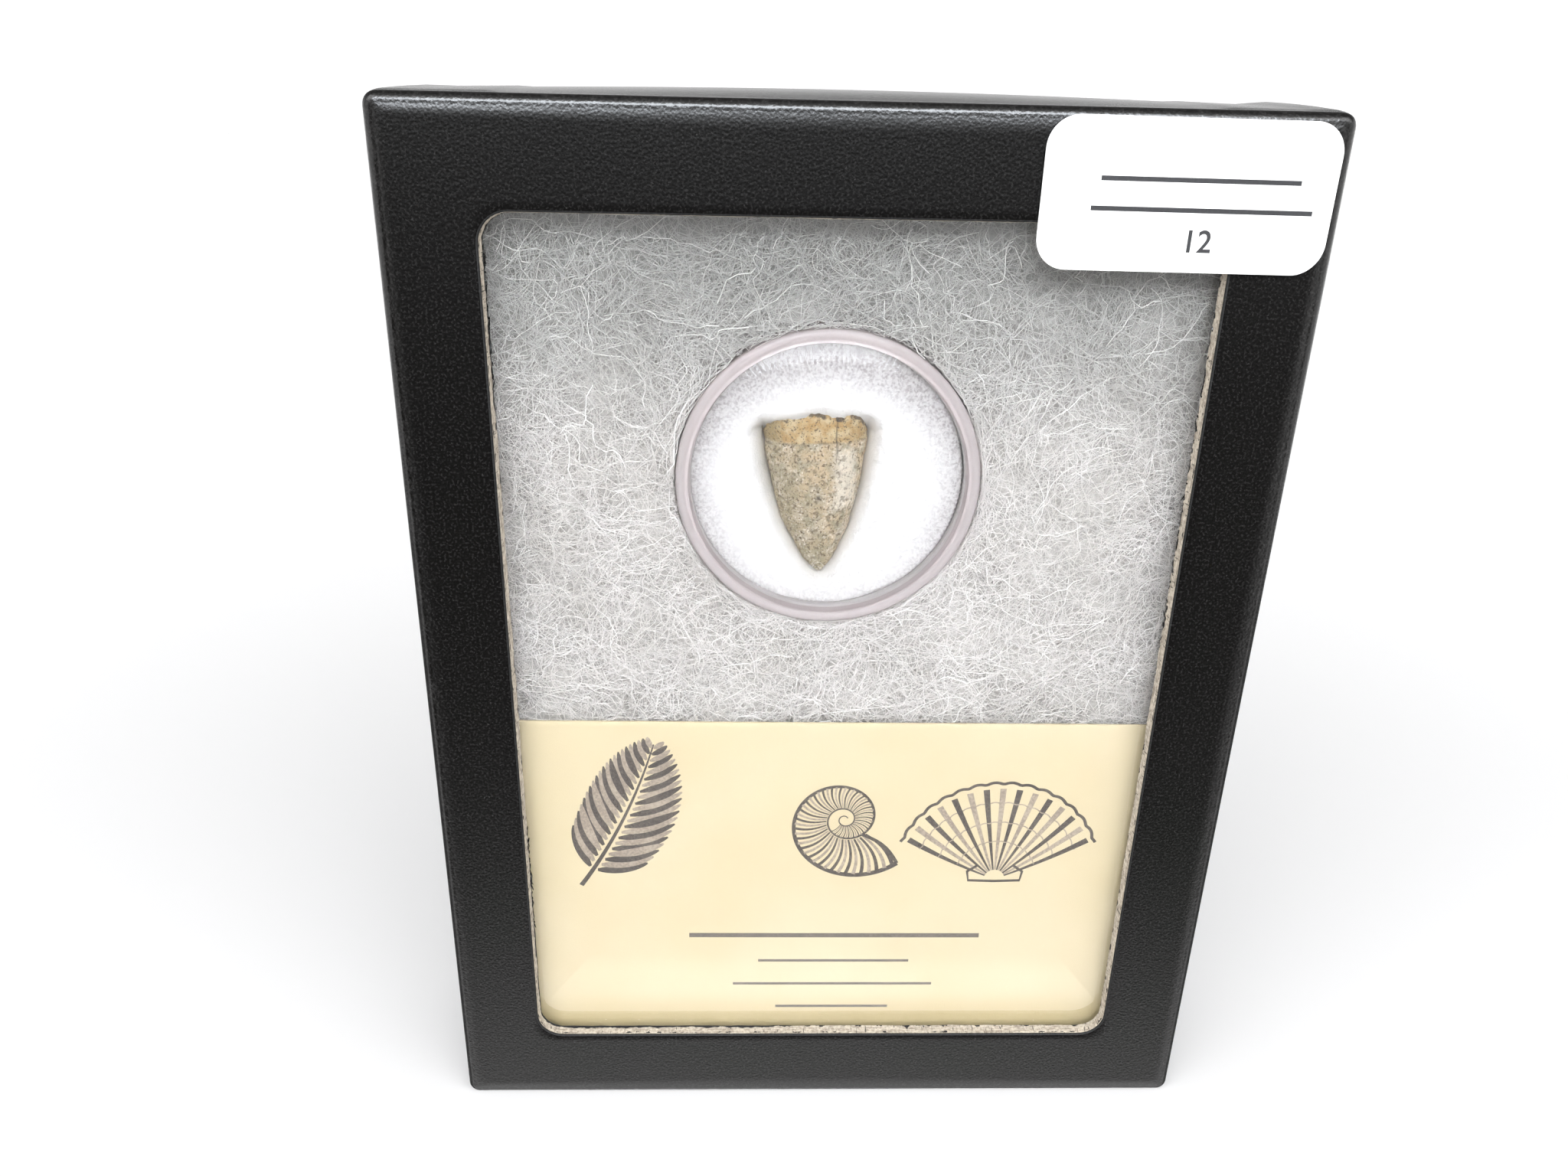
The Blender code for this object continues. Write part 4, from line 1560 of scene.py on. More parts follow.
@dataclass
class FoamDisc:
    """The white foam in the jar, pressed hollow round the tooth."""

    tooth: FossilTooth
    rounding: float = 0.4 * MM
    swell: float = 0.19 * MM
    spread: float = 1.9 * MM
    groove: float = 0.5 * MM
    around: int = 224
    face_rows: int = 120
    hair_density: float = 9.0e6
    hair_length: float = 0.7 * MM
    hair_thickness: float = 0.013 * MM

    def __post_init__(self) -> None:
        """Read the disc's place from the frame."""
        self.middle, radius = round_box("foam_disc")
        self.radius = radius + self.swell
        self.front, self.back = depth_of("foam_disc")

    def pressed(self, rows: Array) -> tuple[Array, Array]:
        """How much deeper the foam's face lies where the tooth has pressed it.

        Args:
            rows: points of the face.

        Returns:
            The added depths, and how near the tooth each point is, from 0 to 1.
        """
        tooth = self.tooth
        x, z = rows[..., 0], rows[..., 2]
        s = evenly(90)
        x0, _, z0 = tooth.axis(s)
        half = tooth.half_width * tooth.width(s)
        across = np.linspace(-0.999, 0.999, 60)
        rim = tooth.front_rim(across) - tooth.sunk * (1.0 - across ** 2) ** 0.7
        outline = np.concatenate((
            np.stack((x0 - half, np.minimum(z0, rim[0])), axis=1),
            np.stack((x0 + half, np.minimum(z0, rim[-1])), axis=1),
            np.stack((x0[-1] + half[-1] * across, rim), axis=1),
        ))
        squares = (x[..., None] - outline[:, 0]) ** 2 + (z[..., None] - outline[:, 1]) ** 2
        gaps = np.sqrt(squares).min(axis=-1)
        at = np.clip((z - (tooth.top - tooth.length)) / tooth.length, 0.0, 1.0)
        line_x, line_depth, _ = tooth.axis(at)
        share = (x - line_x) / np.maximum(tooth.half_width * tooth.width(at), 0.01 * MM)
        edge = np.interp(share, across, rim)
        inside = (np.abs(share) < 1) & (z > tooth.top - tooth.length) & (z < edge)
        wall = line_depth - self.front + 0.1 * MM
        thick = tooth.half_thickness * tooth.width(at) * np.sqrt(np.clip(1 - share ** 2, 0, 1))
        behind = thick + 0.3 * MM
        side = np.maximum(ramp(np.abs(share), 0.5, 0.95), ramp(tooth.top - z, 1.6 * MM, 2.6 * MM))
        near = np.clip(1 - gaps / self.spread, 0.0, 1.0)
        groove = self.groove * np.clip(1 - gaps / (1.3 * MM), 0.0, 1.0) ** 1.6
        over = z > tooth.top - 3.0 * MM
        pressed_edge = np.where(over, np.maximum(wall * 0.15, wall - thick), wall)
        outside = pressed_edge * near ** 2.2 + groove * (0.1 + 0.9 * side)
        below = np.maximum(ramp(edge - z, 0.0, 1.2 * MM), ramp(np.abs(share), 0.55, 0.8))
        ledge = pressed_edge + self.groove * (0.1 + 0.9 * side)
        hole = ledge + (wall + behind - ledge) * below
        return np.where(inside, hole, outside), np.where(inside, 1.0, np.exp(-gaps / (0.75 * MM)))

    def build(self) -> None:
        """Make the disc and its loose fuzz, and tie them to the frame."""
        flat = self.radius - self.rounding
        profile = [(radius, self.front) for radius in np.linspace(0.0, flat, self.face_rows)]
        profile += arc((flat, self.front + self.rounding), self.rounding, -90.0, 0.0, 7)[1:]
        depths = np.linspace(self.front + 1.2 * MM, self.back - 0.4 * MM, 5)
        profile += [(self.radius, depth) for depth in depths]
        profile += [(self.radius - 0.4 * MM, self.back), (self.radius * 0.5, self.back), (0.0, self.back)]
        rows = turned_rows(profile, self.middle, self.around)
        face = rows[..., 1] - FRONT_Y < self.front + self.rounding
        reach = np.hypot(rows[..., 0] - self.middle[0], rows[..., 2] - self.middle[1]) / self.radius
        near = np.zeros(rows.shape[:2])
        # near also carries the painted warm shade round the tooth
        deeper, near[:self.face_rows] = self.pressed(rows[:self.face_rows])
        rows[:self.face_rows, :, 1] += deeper
        soft = noise_at(rows, 1.5 * MM, 3) * 0.11 * MM + noise_at(rows, 0.4 * MM, 2, 2.0) * 0.05 * MM
        rows[..., 1] += np.where(face, soft + 0.05 * MM, 0.0)
        # The rim mark greys the face towards its rim as painted shade, more at the top and less at the
        # bottom, and gathers the pores there
        up = ramp(rows[..., 2] - self.middle[1], 0.0, self.radius)
        down = ramp(self.middle[1] - rows[..., 2], 0.3 * self.radius, 0.9 * self.radius)
        rim = ramp(reach + 0.20 * up - 0.10 * down, 0.72, 1.05)
        piece = skin("foam_bed", rows, {"rim": rim, "near": near}, sharp=180)
        fix(dress(piece, FOAM), "white_foam", "foam_disc")
        fix(self.fuzz(), "white_foam")

    def fuzz(self) -> Piece:
        """Short loose hairs on the foam's face, most of them near its rim.

        Returns:
            The piece, grown by Geometry Nodes.
        """
        recipe = Recipe("foam_fuzz", {"Density": "Float", "Seed": "Int", "Length": "Float",
                                      "Thickness": "Float"})
        turn = recipe.random((-0.5, -math.pi, -0.5), (0.5, math.pi, 0.5), 5)
        size = recipe.random(0.4, 1.0, 6) * recipe.given("Length")
        hairs = recipe.put(recipe.straight(5), recipe.scatter(), turn, size)
        loose = recipe.node("GeometryNodeRealizeInstances", {}, {"Geometry": hairs})
        number = recipe.node("GeometryNodeCurveOfPoint", out="Curve Index")
        bend = recipe.swirl(0.7 * MM, number, (0.9 * MM, 0.25 * MM, 0.9 * MM))
        bent = recipe.node("GeometryNodeSetPosition", {}, {"Geometry": loose, "Offset": bend})
        recipe.finish(recipe.thread(bent))
        rings, around = 4, 48
        radii = np.linspace(self.radius * 0.70, self.radius * 0.985, rings)
        rows = turned_rows([(radius, self.front - 0.03 * MM) for radius in radii], self.middle, around)
        first = np.arange(rings * around).reshape(rings, around)
        following = np.roll(first, -1, axis=1)
        quads = np.stack((first[:-1], following[:-1], following[1:], first[1:]), axis=-1)
        base = bpy.data.meshes.new("foam_rim")
        base.from_pydata(rows.reshape(-1, 3).tolist(), [], quads.reshape(-1, 4).tolist())
        values = {"Density": self.hair_density, "Seed": 5, "Length": self.hair_length,
                  "Thickness": self.hair_thickness}
        return recipe.grow("foam_loose_hairs", base, FOAM, values)


@dataclass(frozen=True)
class Mat:
    """A mat of loose strands: its finish, its strands to a square metre, their thickness and its depth."""

    name: str
    finish: Finish = POLYESTER
    density: float = 0.62e6
    thickness: float = 0.027 * MM
    depth: float = 2.6 * MM


@dataclass
class Wadding:
    """The white polyester wadding: a matted pad with a pocket for the jar, under loose curled fibres."""

    pocket_gap: float = 0.3 * MM
    corner: float = 1.5 * MM
    face: float = 5.9 * MM
    tuft: float = 0.75 * MM
    face_rows: int = 110
    strand_length: float = 8.5 * MM
    curl: float = 4.2 * MM
    # The last mat takes the brighter copy of the fibre, as painted light on the top strands
    mats: tuple[Mat, ...] = (*(Mat(f"loose_fibres_{number}") for number in range(1, 6)),
                             Mat("painted_lit_loose_fibres", PAINTED_LIT_POLYESTER, 0.15e6, 0.029 * MM, 0.5 * MM))

    def __post_init__(self) -> None:
        """Read the pad's place, and what presses into it, from the frame."""
        self.low, self.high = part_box("wadding")
        self.front, self.back = depth_of("wadding")
        self.jar, self.jar_radius = round_box("jar_lid")
        self.jar_axis = (self.jar[0], 0.0, self.jar[1])
        self.jar_back = depth_of("jar_cup")[1]
        self.card_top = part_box("label_card")[1].z
        self.card_back = depth_of("label_card")[1]
        self.glass_back = depth_of("window_glass")[1]

    def pad(self) -> Piece:
        """The matted pad, from the floor of the jar's pocket to the middle of its back.

        Returns:
            The piece, not yet dressed.
        """
        outline = partial(box_loop, self.low, self.high, radius=self.corner, sides=104)
        jar = np.array(self.jar)
        outer = outline(0.9 * MM)
        away = outer - jar
        circle = away / np.linalg.norm(away, axis=1, keepdims=True)
        pocket, floor = self.jar_radius + self.pocket_gap, self.jar_back + self.pocket_gap
        brim = jar + circle * (pocket + 0.2 * MM)
        rows = [in_space(jar + circle * pocket * share, floor) for share in (0.0, 0.5, 1.0)]
        for depth in np.linspace(floor, self.face + 0.8 * MM, 5)[1:]:
            rows.append(in_space(jar + circle * pocket, depth))
        for share in evenly(self.face_rows):
            rows.append(in_space(brim * (1 - share) + outer * share, self.face))
        rows.append(in_space(outline(0.2 * MM), self.face + 0.5 * MM))
        for depth in np.linspace(self.face + 1.3 * MM, self.back - 0.8 * MM, 4):
            rows.append(in_space(outline(0.0), depth))
        back_middle = outline(0.0).mean(axis=0)
        for share in (1.0, 0.5, 0.0):
            rows.append(in_space(back_middle + (outline(0.8 * MM) - back_middle) * share, self.back))
        points = np.array(rows)
        on_face = np.abs(points[..., 1] - FRONT_Y - self.face) < 0.01 * MM
        lumps = noise_at(points, 5.5 * MM, 3) * self.tuft
        lumps += noise_at(points, 1.4 * MM, 3, 4.0) * self.tuft * 0.6
        behind_card = points[..., 2] < self.card_top + 1 * MM
        least = np.where(behind_card, self.card_back + 0.3 * MM, self.front + 0.1 * MM)
        lumps = np.maximum(lumps, FRONT_Y + least - points[..., 1])
        points[..., 1] += np.where(on_face, lumps, 0.0)
        return skin("wadding_pad", points, sharp=180)

    def recipe(self) -> Recipe:
        """The tree that scatters curled strands over a sheet, round the jar and above the card.

        Returns:
            The tree.
        """
        recipe = Recipe("curled_strands", {"Density": "Float", "Seed": "Int", "Length": "Float",
                                           "Thickness": "Float", "Curl": "Float", "Layer": "Float"})
        curl = recipe.given("Curl")
        place = recipe.node("GeometryNodeInputPosition")
        gap = recipe.vector_maths("LENGTH", self.from_jar(place), out=1)
        covered = recipe.node("FunctionNodeCompare", {"operation": "LESS_THAN"},
                              {0: gap, 1: self.jar_radius - 1.2 * MM})
        points = recipe.node("GeometryNodeDeleteGeometry", {"domain": "POINT"},
                             {"Geometry": recipe.scatter(), "Selection": covered})
        flow = recipe.node("ShaderNodeTexNoise", {},
                           {"Vector": place, "Scale": 1 / (9 * MM), "Detail": 1.0}, out="Fac")
        turn = recipe.join(recipe.random(-0.25, 0.25, 11), flow * 14.0 + recipe.random(-1.1, 1.1, 12),
                           recipe.random(-0.25, 0.25, 13))
        size = recipe.random(0.35, 1.25, 14) * recipe.given("Length")
        strands = recipe.put(recipe.straight(12), points, turn, size)
        loose = recipe.node("GeometryNodeRealizeInstances", {}, {"Geometry": strands})
        number = recipe.node("GeometryNodeCurveOfPoint", out="Curve Index")
        rank = number + recipe.given("Seed") * 4001.0
        sink = recipe.join(0.0, recipe.random(0.0, 1.0, 15, number) * recipe.given("Layer"), 0.0)
        wide = recipe.swirl(4.6 * MM, rank, recipe.join(curl * 2.0, curl * 0.45, curl * 2.0))
        tight = recipe.swirl(1.7 * MM, rank + 0.37, recipe.join(curl * 0.55, curl * 0.22, curl * 0.55))
        shift = wide + tight + sink
        curled = recipe.node("GeometryNodeSetPosition", {}, {"Geometry": loose, "Offset": shift})
        settled = recipe.node("GeometryNodeSetPosition", {},
                              {"Geometry": curled, "Position": self.kept_clear(recipe)})
        heavy = recipe.random(0.0, 1.0, 16, number) ** 3.0 * 1.1 + 0.7
        recipe.finish(recipe.thread(settled, Scale=heavy))
        return recipe

    def from_jar(self, place: SocketExpr) -> SocketExpr:
        """The way to a place from the jar's axis, in the plane of the window."""
        return (place - self.jar_axis) * (1.0, 0.0, 1.0)

    def kept_clear(self, recipe: Recipe) -> SocketExpr:
        """Where a strand's point goes to be clear of the jar, the card, the glass and the tray.

        Args:
            recipe: the strands' tree.

        Returns:
            The point's new place.
        """
        place = recipe.node("GeometryNodeInputPosition")
        away = self.from_jar(place)
        reach = recipe.vector_maths("LENGTH", away, out=1)
        least = self.jar_radius + 0.10 * MM
        kept = reach.most(least * 1.45 - reach * 0.45)
        heading = recipe.vector_maths("NORMALIZE", away)
        pushed = heading * recipe.join(kept, kept, kept) + self.jar_axis
        step = place.axis("Z").step(self.card_top + 0.3 * MM, self.card_top + 1.6 * MM,
                                    FRONT_Y + self.card_back + 0.1 * MM,
                                    FRONT_Y + self.glass_back + 0.10 * MM)
        edge = 0.25 * MM
        return recipe.join(pushed.axis("X").most(self.low.x + edge).least(self.high.x - edge),
                           place.axis("Y").most(step).least(self.high.y),
                           pushed.axis("Z").least(self.high.z - edge))

    def build(self) -> None:
        """Make the pad and its mats of loose strands, and tie them to the frame."""
        pad = fix(dress(self.pad(), MATTED), "fibre_wadding", "wadding")
        recipe = self.recipe()
        side, y = self.high.x - 0.8 * MM, FRONT_Y + self.glass_back + 0.35 * MM
        foot, top = self.card_top - 2.0 * MM, self.high.z - 0.8 * MM
        corners = [(-side, y, foot), (side, y, foot), (side, y, top), (-side, y, top)]
        for seed, mat in enumerate(self.mats, 1):
            sheet = bpy.data.meshes.new("fibre_sheet")
            sheet.from_pydata(corners, [], [(0, 1, 2, 3)])
            values = {"Density": mat.density, "Seed": seed, "Length": self.strand_length,
                      "Thickness": mat.thickness, "Curl": self.curl, "Layer": mat.depth}
            fix(recipe.grow(mat.name, sheet, mat.finish, values), "fibre_wadding")


class InkDrawing:
    """Thin closed strokes of ink lying on a face, gathered into one mesh."""

    def __init__(self, name: str, face: Callable[[Array], Array], proud: float) -> None:
        """Start a drawing.

        Args:
            name: the piece's name.
            face: gives the depths of the face that carries the ink, from x and z.
            proud: how far the ink stands proud of it.
        """
        self.name, self.face, self.proud = name, face, proud
        self.points: list[list[float]] = []
        self.faces: list[tuple[int, ...]] = []
        self.shades: list[int] = []
        self.strokes = 0

    def stroke(self, path: Any, widths: Any, shade: int = 0) -> None:
        """Add a stroke.

        Args:
            path: its middle line, as x and z.
            widths: its half width at each point, or one for all.
            shade: which of the drawing's inks it takes.
        """
        path = np.asarray(path, dtype=float)
        count, base = len(path), len(self.points)
        along = np.gradient(path, axis=0)
        along /= np.linalg.norm(along, axis=1, keepdims=True) + 1e-12
        across = np.stack((-along[:, 1], along[:, 0]), axis=1) * np.broadcast_to(widths, count)[:, None]
        proud = self.proud * (1.0 + 0.05 * (self.strokes % 9))
        self.strokes += 1
        for rise, side in ((proud, 1), (proud, -1), (-0.4 * self.proud, -1), (-0.4 * self.proud, 1)):
            row = path + side * across
            self.points.extend(in_space(row, self.face(row) - rise).tolist())
        rings = [[base + corner * count + step for corner in range(4)] for step in range(count)]
        for ring, following in zip(rings, rings[1:]):
            for corner in range(4):
                after = (corner + 1) % 4
                self.faces.append((ring[corner], ring[after], following[after], following[corner]))
        self.faces += [tuple(rings[0]), tuple(rings[-1])]
        self.shades += [shade] * (4 * (count - 1) + 2)

    def piece(self, *inks: Finish) -> Piece:
        """The drawing as one piece.

        Args:
            inks: its inks, each of which becomes a material.

        Returns:
            The piece.
        """
        mesh = bpy.data.meshes.new(self.name)
        mesh.from_pydata(self.points, [], self.faces)
        mesh.polygons.foreach_set("material_index", self.shades)
        turn_out(mesh)
        return dress(show(self.name, mesh), *inks)


@dataclass
class LabelCard:
    """The cream card over the lower part of the wadding, with a plain drawing of fossils and four rules."""

    corner: float = 0.35 * MM
    arris: float = 0.05 * MM
    bow: float = 0.16 * MM
    ink: float = 0.012 * MM
    fern_foot: Point = (-27.5 * MM, 27.8 * MM)
    fern_length: float = 19.5 * MM
    shell_middle: Point = (1.5 * MM, 36.6 * MM)
    shell_radius: float = 8.3 * MM
    fan_hinge: Point = (18.6 * MM, 28.8 * MM)
    fan_radius: float = 12.4 * MM
    rule_middle: float = 1.0 * MM
    rules: tuple[Triple, ...] = (
        (20.9 * MM, 16.6 * MM, 0.30 * MM), (17.3 * MM, 8.7 * MM, 0.17 * MM),
        (14.0 * MM, 11.6 * MM, 0.17 * MM), (10.7 * MM, 6.6 * MM, 0.17 * MM))

    def __post_init__(self) -> None:
        """Read the card's place from the frame."""
        self.low, self.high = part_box("label_card")
        self.front, self.back = depth_of("label_card")

    def bend(self, places: Array) -> Array:
        """How far the card's bow draws it back.

        Args:
            places: places on the card, as x and z.

        Returns:
            The added depths.
        """
        x = (places[..., 0] - (self.low.x + self.high.x) / 2) / (self.high.x - self.low.x) * 2
        z = (places[..., 1] - (self.low.z + self.high.z) / 2) / (self.high.z - self.low.z) * 2
        return self.bow * (0.6 * x ** 2 + 0.4 * np.maximum(z, 0.0) ** 2)

    def card(self) -> Piece:
        """The card itself.

        Returns:
            The piece, not yet dressed.
        """
        outline = partial(box_loop, self.low, self.high, radius=self.corner, sides=40, corner=3)
        rows = plate_rows(outline, self.front, self.back, self.arris, steps=40)
        rows[..., 1] += self.bend(rows[..., [0, 2]])
        # Painted shade: darker at the sides and bottom, where the window's edges shade the card
        side = ramp(np.abs(rows[..., 0]), 29.4 * MM, 32.3 * MM)
        foot = ramp(-rows[..., 2], -13.4 * MM, -9.6 * MM)
        return skin("cream_label_card", rows, {"painted_margin_shade": np.maximum(side * 0.12, foot)})

    def fern(self, drawing: InkDrawing) -> None:
        """A fern frond on the left.

        Args:
            drawing: the drawing that takes its strokes.
        """
        share = evenly(30)
        lean = math.radians(56.0)
        across, up = share * math.cos(lean) - 0.13 * share ** 2, share * math.sin(lean) + 0.10 * share ** 2
        stem = self.fern_foot + self.fern_length * np.stack((across, up), axis=1)
        drawing.stroke(stem, np.linspace(0.26 * MM, 0.08 * MM, 30))
        for leaf, at in enumerate(np.linspace(0.13, 0.975, 22)):
            foot = np.array([np.interp(at, share, stem[:, 0]), np.interp(at, share, stem[:, 1])])
            heading = lean + 0.28 * at
            length = 6.6 * MM * math.sin(math.pi * min(1.0, 0.22 + 0.76 * at)) ** 0.9 + 0.5 * MM
            along = evenly(12)
            for hand in (-1, 1):
                turn = heading + hand * (1.13 - 0.25 * at) - hand * 0.45 * along
                blade = foot + np.cumsum(polar(length, turn) / 12, axis=0)
                width = 0.52 * MM * np.sin(math.pi * np.clip(along * 0.93 + 0.05, 0, 1)) ** 0.6
                drawing.stroke(blade, width * (1.1 - 0.5 * at), leaf % 2)

    def coiled_shell(self, drawing: InkDrawing) -> None:
        """A coiled shell in the middle.

        Args:
            drawing: the drawing that takes its strokes.
        """
        middle = np.array(self.shell_middle)
        turns = np.linspace(0.0, 5.6 * math.pi, 260)
        growth = math.log(3.0) / (2 * math.pi)
        radius = self.shell_radius * np.exp(growth * (turns - turns[-1]))
        heading = turns + 0.5
        drawing.stroke(middle + polar(radius, heading), 0.05 * MM + 0.028 * radius)
        for rib in np.arange(3.1 * math.pi, 5.58 * math.pi, 0.118):
            reach = self.shell_radius * math.exp(growth * (rib - turns[-1]))
            share = np.linspace(0.37, 0.985, 9)
            bent = rib + 0.5 + 0.16 * np.sin(share * math.pi)
            width = reach * (0.008 + 0.020 * share)
            drawing.stroke(middle + reach * polar(share, bent), width, int(rib * 8.5) % 2)
        mouth = turns[-1] + 0.5
        across = np.linspace(0.34, 1.0, 8)[:, None] * self.shell_radius
        bulge = 0.07 * self.shell_radius * np.sin(np.linspace(0, math.pi, 8))[:, None]
        out = np.array((math.cos(mouth), math.sin(mouth)))
        sideways = np.array((-math.sin(mouth), math.cos(mouth)))
        drawing.stroke(middle + across * out + bulge * sideways, 0.2 * MM)

    def fan_shell(self, drawing: InkDrawing) -> None:
        """A ribbed fan shell on the right.

        Args:
            drawing: the drawing that takes its strokes.
        """
        hinge = np.array(self.fan_hinge)
        spread = np.linspace(math.radians(28), math.radians(152), 15)
        for rib, turn in enumerate(spread):
            share = np.linspace(0.10, 0.955, 14)
            reach = self.fan_radius * (0.90 + 0.10 * math.sin(turn))
            bent = turn + 0.10 * math.cos(turn) * (share - 1)
            drawing.stroke(hinge + reach * polar(share, bent), 0.06 * MM + 0.30 * MM * share, rib % 2)
        sweep = np.linspace(spread[0] - 0.06, spread[-1] + 0.06, 120)
        for share, width, shade in ((1.0, 0.17, 0), (0.80, 0.07, 1), (0.60, 0.07, 1), (0.40, 0.06, 1)):
            wave = 1.0 + 0.020 * np.abs(np.sin((sweep - spread[0]) / (spread[1] - spread[0]) * math.pi))
            reach = self.fan_radius * share * (0.90 + 0.10 * np.sin(sweep)) * wave
            drawing.stroke(hinge + polar(reach, sweep), width * MM, shade)
        for hand in (-1, 1):
            ear = np.array(((0.0, -0.3), (hand * 2.9, -0.2), (hand * 3.1, 1.0), (hand * 1.9, 1.9))) * MM
            drawing.stroke(hinge + ear, 0.16 * MM)

    def build(self) -> None:
        """Make the card, its drawing and its rules, and tie them to the frame."""
        fix(dress(self.card(), CREAM_CARD), "cream_card", "label_card")

        def face(places: Array) -> Array:
            """The depth of the card's front at x and z."""
            return self.front + self.bend(places)

        drawing = InkDrawing("card_drawing", face, self.ink)
        self.fern(drawing)
        self.coiled_shell(drawing)
        self.fan_shell(drawing)
        fix(drawing.piece(DARK_INK, SOFT_INK), "cream_card")
        rules = InkDrawing("card_rules", face, self.ink)
        for height, half, width in self.rules:
            path = [(self.rule_middle + half * share, height) for share in np.linspace(-1, 1, 24)]
            rules.stroke(path, width)
        fix(rules.piece(RULE_INK), "cream_card")


@dataclass
class CornerSticker:
    """The white sticker over the lid's upper right corner, with two rules and a plain number."""

    width: float = 25.3 * MM
    height: float = 12.6 * MM
    corner: float = 2.7 * MM
    middle: Point = (27.8 * MM, 102.35 * MM)
    tilt: float = math.radians(-0.4)
    arris: float = 0.05 * MM
    ink: float = 0.008 * MM
    rules_mm: tuple[Triple, ...] = ((0.9, 1.35, 8.6), (1.3, -1.1, 9.6))
    rule_width: float = 0.20 * MM
    number: str = "12"
    number_height: float = 1.9 * MM
    number_place: Point = (1.3 * MM, 1.75 * MM)

    def turned(self, loop: Array) -> Array:
        """Tilt points and put them in place.

        Args:
            loop: x and z about the sticker's middle.

        Returns:
            Their x and z in the frame.
        """
        cosine, sine = math.cos(self.tilt), math.sin(self.tilt)
        x, z = loop[..., 0], loop[..., 1]
        return np.stack((x * cosine - z * sine, x * sine + z * cosine), axis=-1) + self.middle

    def bend(self, places: Array) -> Array:
        """How far the sticker lifts or sinks at places given as x and z."""
        share = np.abs(places[..., 0] - self.middle[0]) / (self.width / 2)
        return 0.03 * MM * np.clip(share, 0, 1) ** 4

    def build(self) -> None:
        """Make the sticker, its rules and its number, and tie them to the frame."""
        front, back = depth_of("corner_sticker")

        def outline(inset: float) -> Array:
            """The sticker's outline, drawn in by an inset."""
            return self.turned(rounded_loop(self.width / 2 - inset, self.height / 2 - inset,
                                            self.corner - inset, sides=24, corner=12))

        rows = plate_rows(outline, front, back, self.arris, steps=12)
        rows[..., 1] += self.bend(rows[..., [0, 2]])
        piece = skin("corner_label", rows)
        fix(dress(piece, LABEL_PAPER), "white_sticker", "corner_sticker")

        def face(places: Array) -> Array:
            """The depth of the sticker's front at x and z."""
            return front + self.bend(places)

        drawing = InkDrawing("sticker_rules", face, self.ink)
        for x, z, half in self.rules_mm:
            path = np.array([((x + half * share) * MM, z * MM) for share in np.linspace(-1, 1, 12)])
            drawing.stroke(self.turned(path), self.rule_width)
        fix(drawing.piece(LABEL_INK), "white_sticker")
        fix(self.figures(front), "white_sticker")

    def figures(self, front: float) -> Piece:
        """The plain number, as a thin closed mesh on the sticker.

        Args:
            front: the depth of the sticker's front.

        Returns:
            The piece.
        """
        text = bpy.data.curves.new("number", "FONT")
        text.body, text.align_x, text.size = self.number, "CENTER", self.number_height * 1.4
        text.extrude, text.offset = 0.012 * MM, 0.03 * MM
        holder = show("number_shape", text)
        mesh = bpy.data.meshes.new_from_object(holder)
        bpy.data.objects.remove(holder)
        mesh.materials.clear()
        shape = bmesh.new()
        shape.from_mesh(mesh)
        bmesh.ops.remove_doubles(shape, verts=shape.verts, dist=1e-7)
        right, above = self.number_place
        for vert in shape.verts:
            across, up, rise = vert.co
            x, z = self.turned(np.array((across + right, up - self.height / 2 + above)))
            vert.co = (x, FRONT_Y + front - rise + 0.002 * MM, z)
        shape.to_mesh(mesh)
        shape.free()
        turn_out(mesh)
        return dress(show("sticker_number", mesh), LABEL_INK)


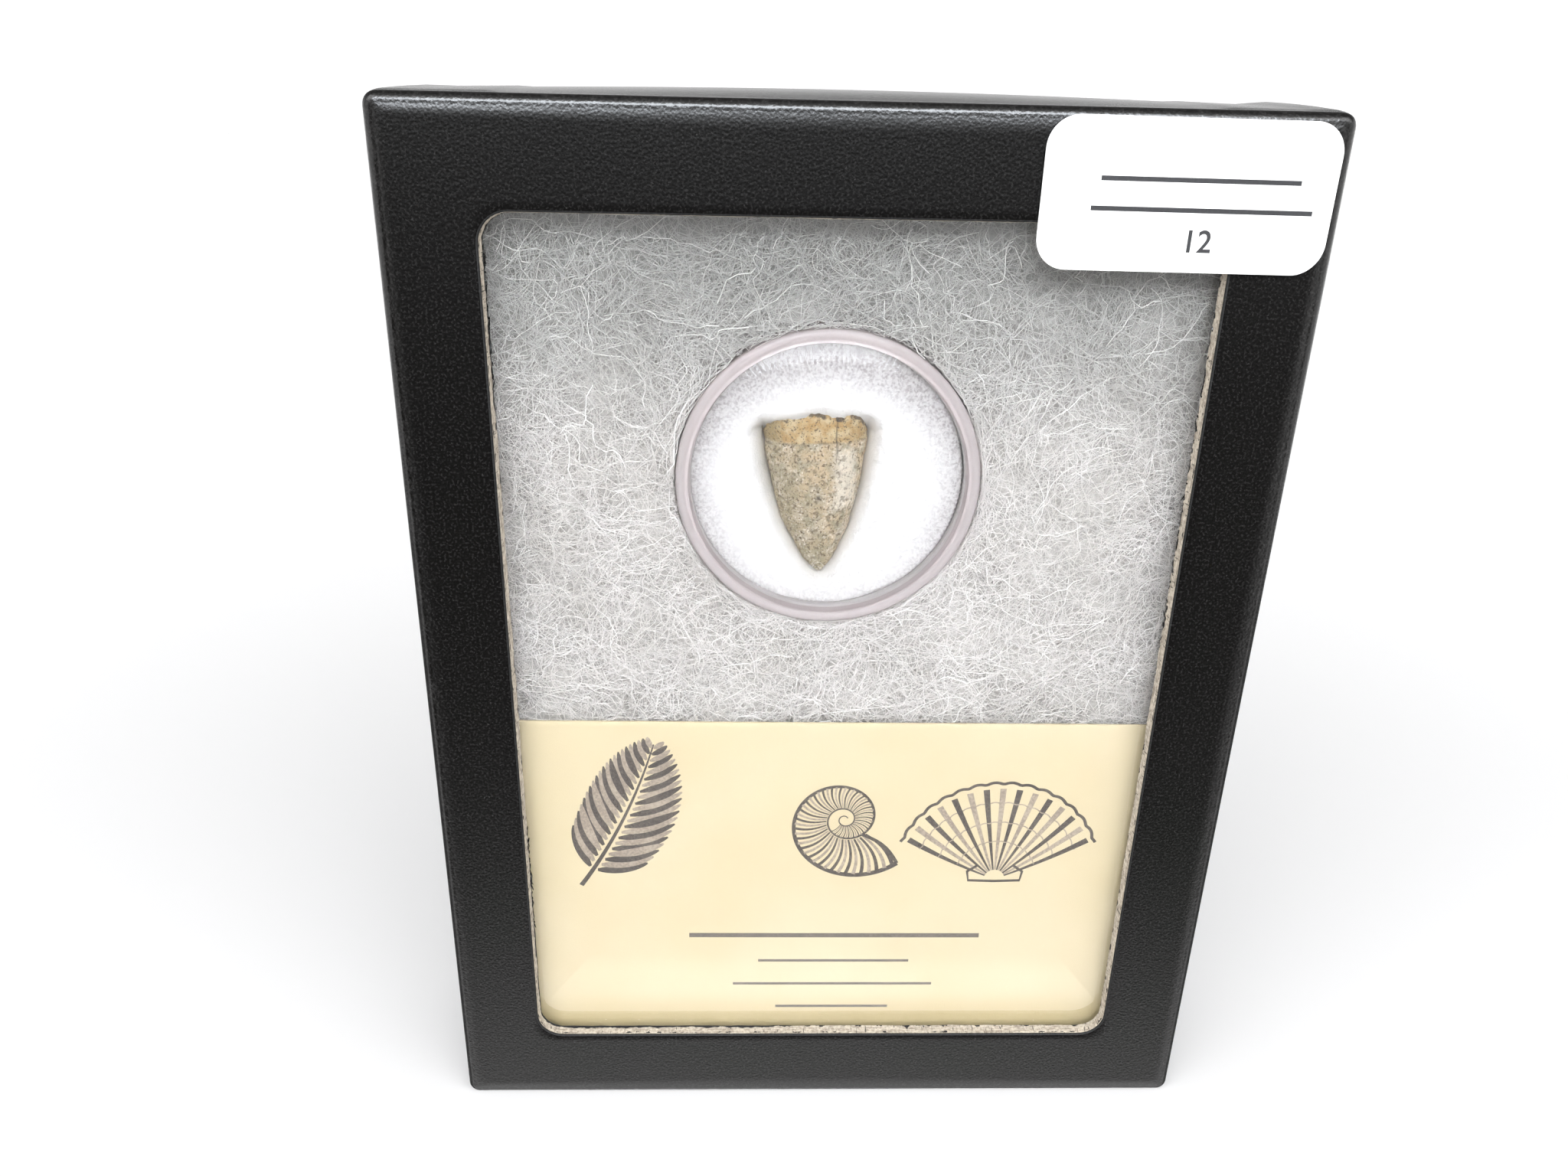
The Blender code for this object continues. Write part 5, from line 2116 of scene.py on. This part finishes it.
@dataclass
class Studio:
    """The camera, the white floor and the soft light.

    Attributes:
        floor_size: the floor's width.
        backdrop: the light that the camera sees behind the box.
        light: the light from above.
        ground: the light from below.
        rear: more light, from low behind.
        dusk: the light in the dark part of the room.
        key: the bright band above that part.
        glint: the lamp's power.
    """

    floor_size: float = 4.0
    backdrop: float = 1.15
    light: float = 1.4
    ground: float = 1.75
    rear: float = 0.3
    dusk: float = 0.04
    key: float = 4.5
    glint: float = 7.6
    lamp_size: Point = (0.55, 0.20)
    lamp_place: Triple = (0.0, -0.55, 0.41)
    lamp_aim: Triple = (0.0, 0.0, 0.10)

    def camera(self) -> None:
        """Put the camera where the picture was taken from."""
        lens = bpy.data.cameras.new("camera")
        lens.sensor_width = SENSOR_WIDTH
        lens.lens = SENSOR_WIDTH * CAMERA_LENS_PIXELS / PICTURE_WIDTH_PIXELS
        lens.clip_start = 0.005
        holder = show("camera", lens)
        holder.matrix_world = (Matrix.Translation(CAMERA_PLACE) @ Matrix.Rotation(CAMERA_YAW, 4, "Z")
                               @ Matrix.Rotation(math.pi / 2 + CAMERA_PITCH, 4, "X")
                               @ Matrix.Rotation(CAMERA_ROLL, 4, "Z"))
        bpy.context.scene.camera = holder

    def floor(self) -> None:
        """Lay the white floor; reflections look past it at the soft surroundings."""
        half = self.floor_size / 2
        mesh = bpy.data.meshes.new("studio_floor")
        mesh.from_pydata([(-half, -half, 0), (half, -half, 0), (half, half, 0), (-half, half, 0)], [],
                         [(0, 1, 2, 3)])
        piece = dress(show("studio_floor", mesh), FLOOR_WHITE)
        piece.visible_glossy = False

    def surroundings(self) -> None:
        """Soft white light from all round, dim straight ahead of the window, where the room is dark."""
        world = bpy.data.worlds.new("soft_room")
        world.use_nodes = True
        bpy.context.scene.world = world
        tree = Tree(world.node_tree)
        heading = tree.node("ShaderNodeTexCoord", out="Generated")
        rise = tree.maths("ARCSINE", heading.axis("Z")) * (180 / math.pi)
        x, y = heading.axis("X"), heading.axis("Y")
        ahead = -1.0 * y / tree.maths("SQRT", x * x + y * y).most(0.001)
        dim = ahead.step(0.62, 0.88) * rise.step(-45.0, -36.5) * rise.step(-4.0, 14.0, 1.0, 0.0)
        key = ahead.step(0.15, 0.55) * rise.step(16.0, 26.0) * rise.step(38.0, 52.0, 1.0, 0.12)
        canopy = (-1.0 * y).step(0.30, 0.75, 1.0, 0.0) * rise.step(16.0, 30.0)
        behind = y.step(0.05, 0.55) * rise.step(-8.0, -2.0) * rise.step(8.0, 24.0, 1.0, 0.0) * self.rear
        aside = ahead.step(0.20, 0.60, 1.0, 0.0) * rise.step(-24.0, -8.0, 1.0, 0.0) * 0.85
        shelf = y.step(0.30, 0.60) * rise.step(5.5, 10.5) * rise.step(20.0, 32.0, 1.0, 0.0)
        plain = rise.step(-6.0, 4.0, self.ground, self.light) * (1.0 - canopy * 0.80) * (1.0 - aside)
        plain = plain * (1.0 - shelf * 0.85) + behind
        lit = plain * (1.0 - dim) + dim * self.dusk + key * self.key * (1.0 - x * 0.1)
        seen = tree.node("ShaderNodeLightPath", out="Is Camera Ray")
        strength = lit * (1.0 - seen) + seen * self.backdrop
        background = world.node_tree.nodes["Background"]
        background.inputs["Color"].default_value = (1.0, 1.0, 1.0, 1.0)
        tree.feed(background.inputs["Strength"], strength)

    def overhead(self) -> None:
        """A soft lamp above the front, for the shine along the upper edges."""
        lamp = bpy.data.lights.new("overhead", "AREA")
        lamp.shape, (lamp.size, lamp.size_y) = "RECTANGLE", self.lamp_size
        lamp.energy, lamp.color = self.glint, (0.87, 0.93, 1.0)
        holder = show("overhead", lamp)
        holder.location = self.lamp_place
        way = Vector(self.lamp_aim) - Vector(self.lamp_place)
        holder.rotation_euler = way.to_track_quat("-Z", "Y").to_euler()
        holder.visible_diffuse = False

    def build(self) -> None:
        """Set up the studio."""
        self.camera()
        self.floor()
        self.surroundings()
        self.overhead()
        scene = bpy.context.scene
        scene.view_settings.view_transform = "Standard"
        scene.cycles.max_bounces = scene.cycles.transmission_bounces = 32
        scene.cycles.diffuse_bounces = scene.cycles.glossy_bounces = 10


def main() -> None:
    """Build every sub-assembly in order."""
    logging.basicConfig(level=logging.INFO, format="%(name)s: %(message)s")
    tooth = FossilTooth()
    for assembly in (Studio(), Lid(), Tray(), WindowGlass(), Wadding(), Jar(), FoamDisc(tooth), tooth,
                     LabelCard(), CornerSticker()):
        LOG.info("making %s", type(assembly).__name__)
        assembly.build()


if __name__ == "__main__":
    main()
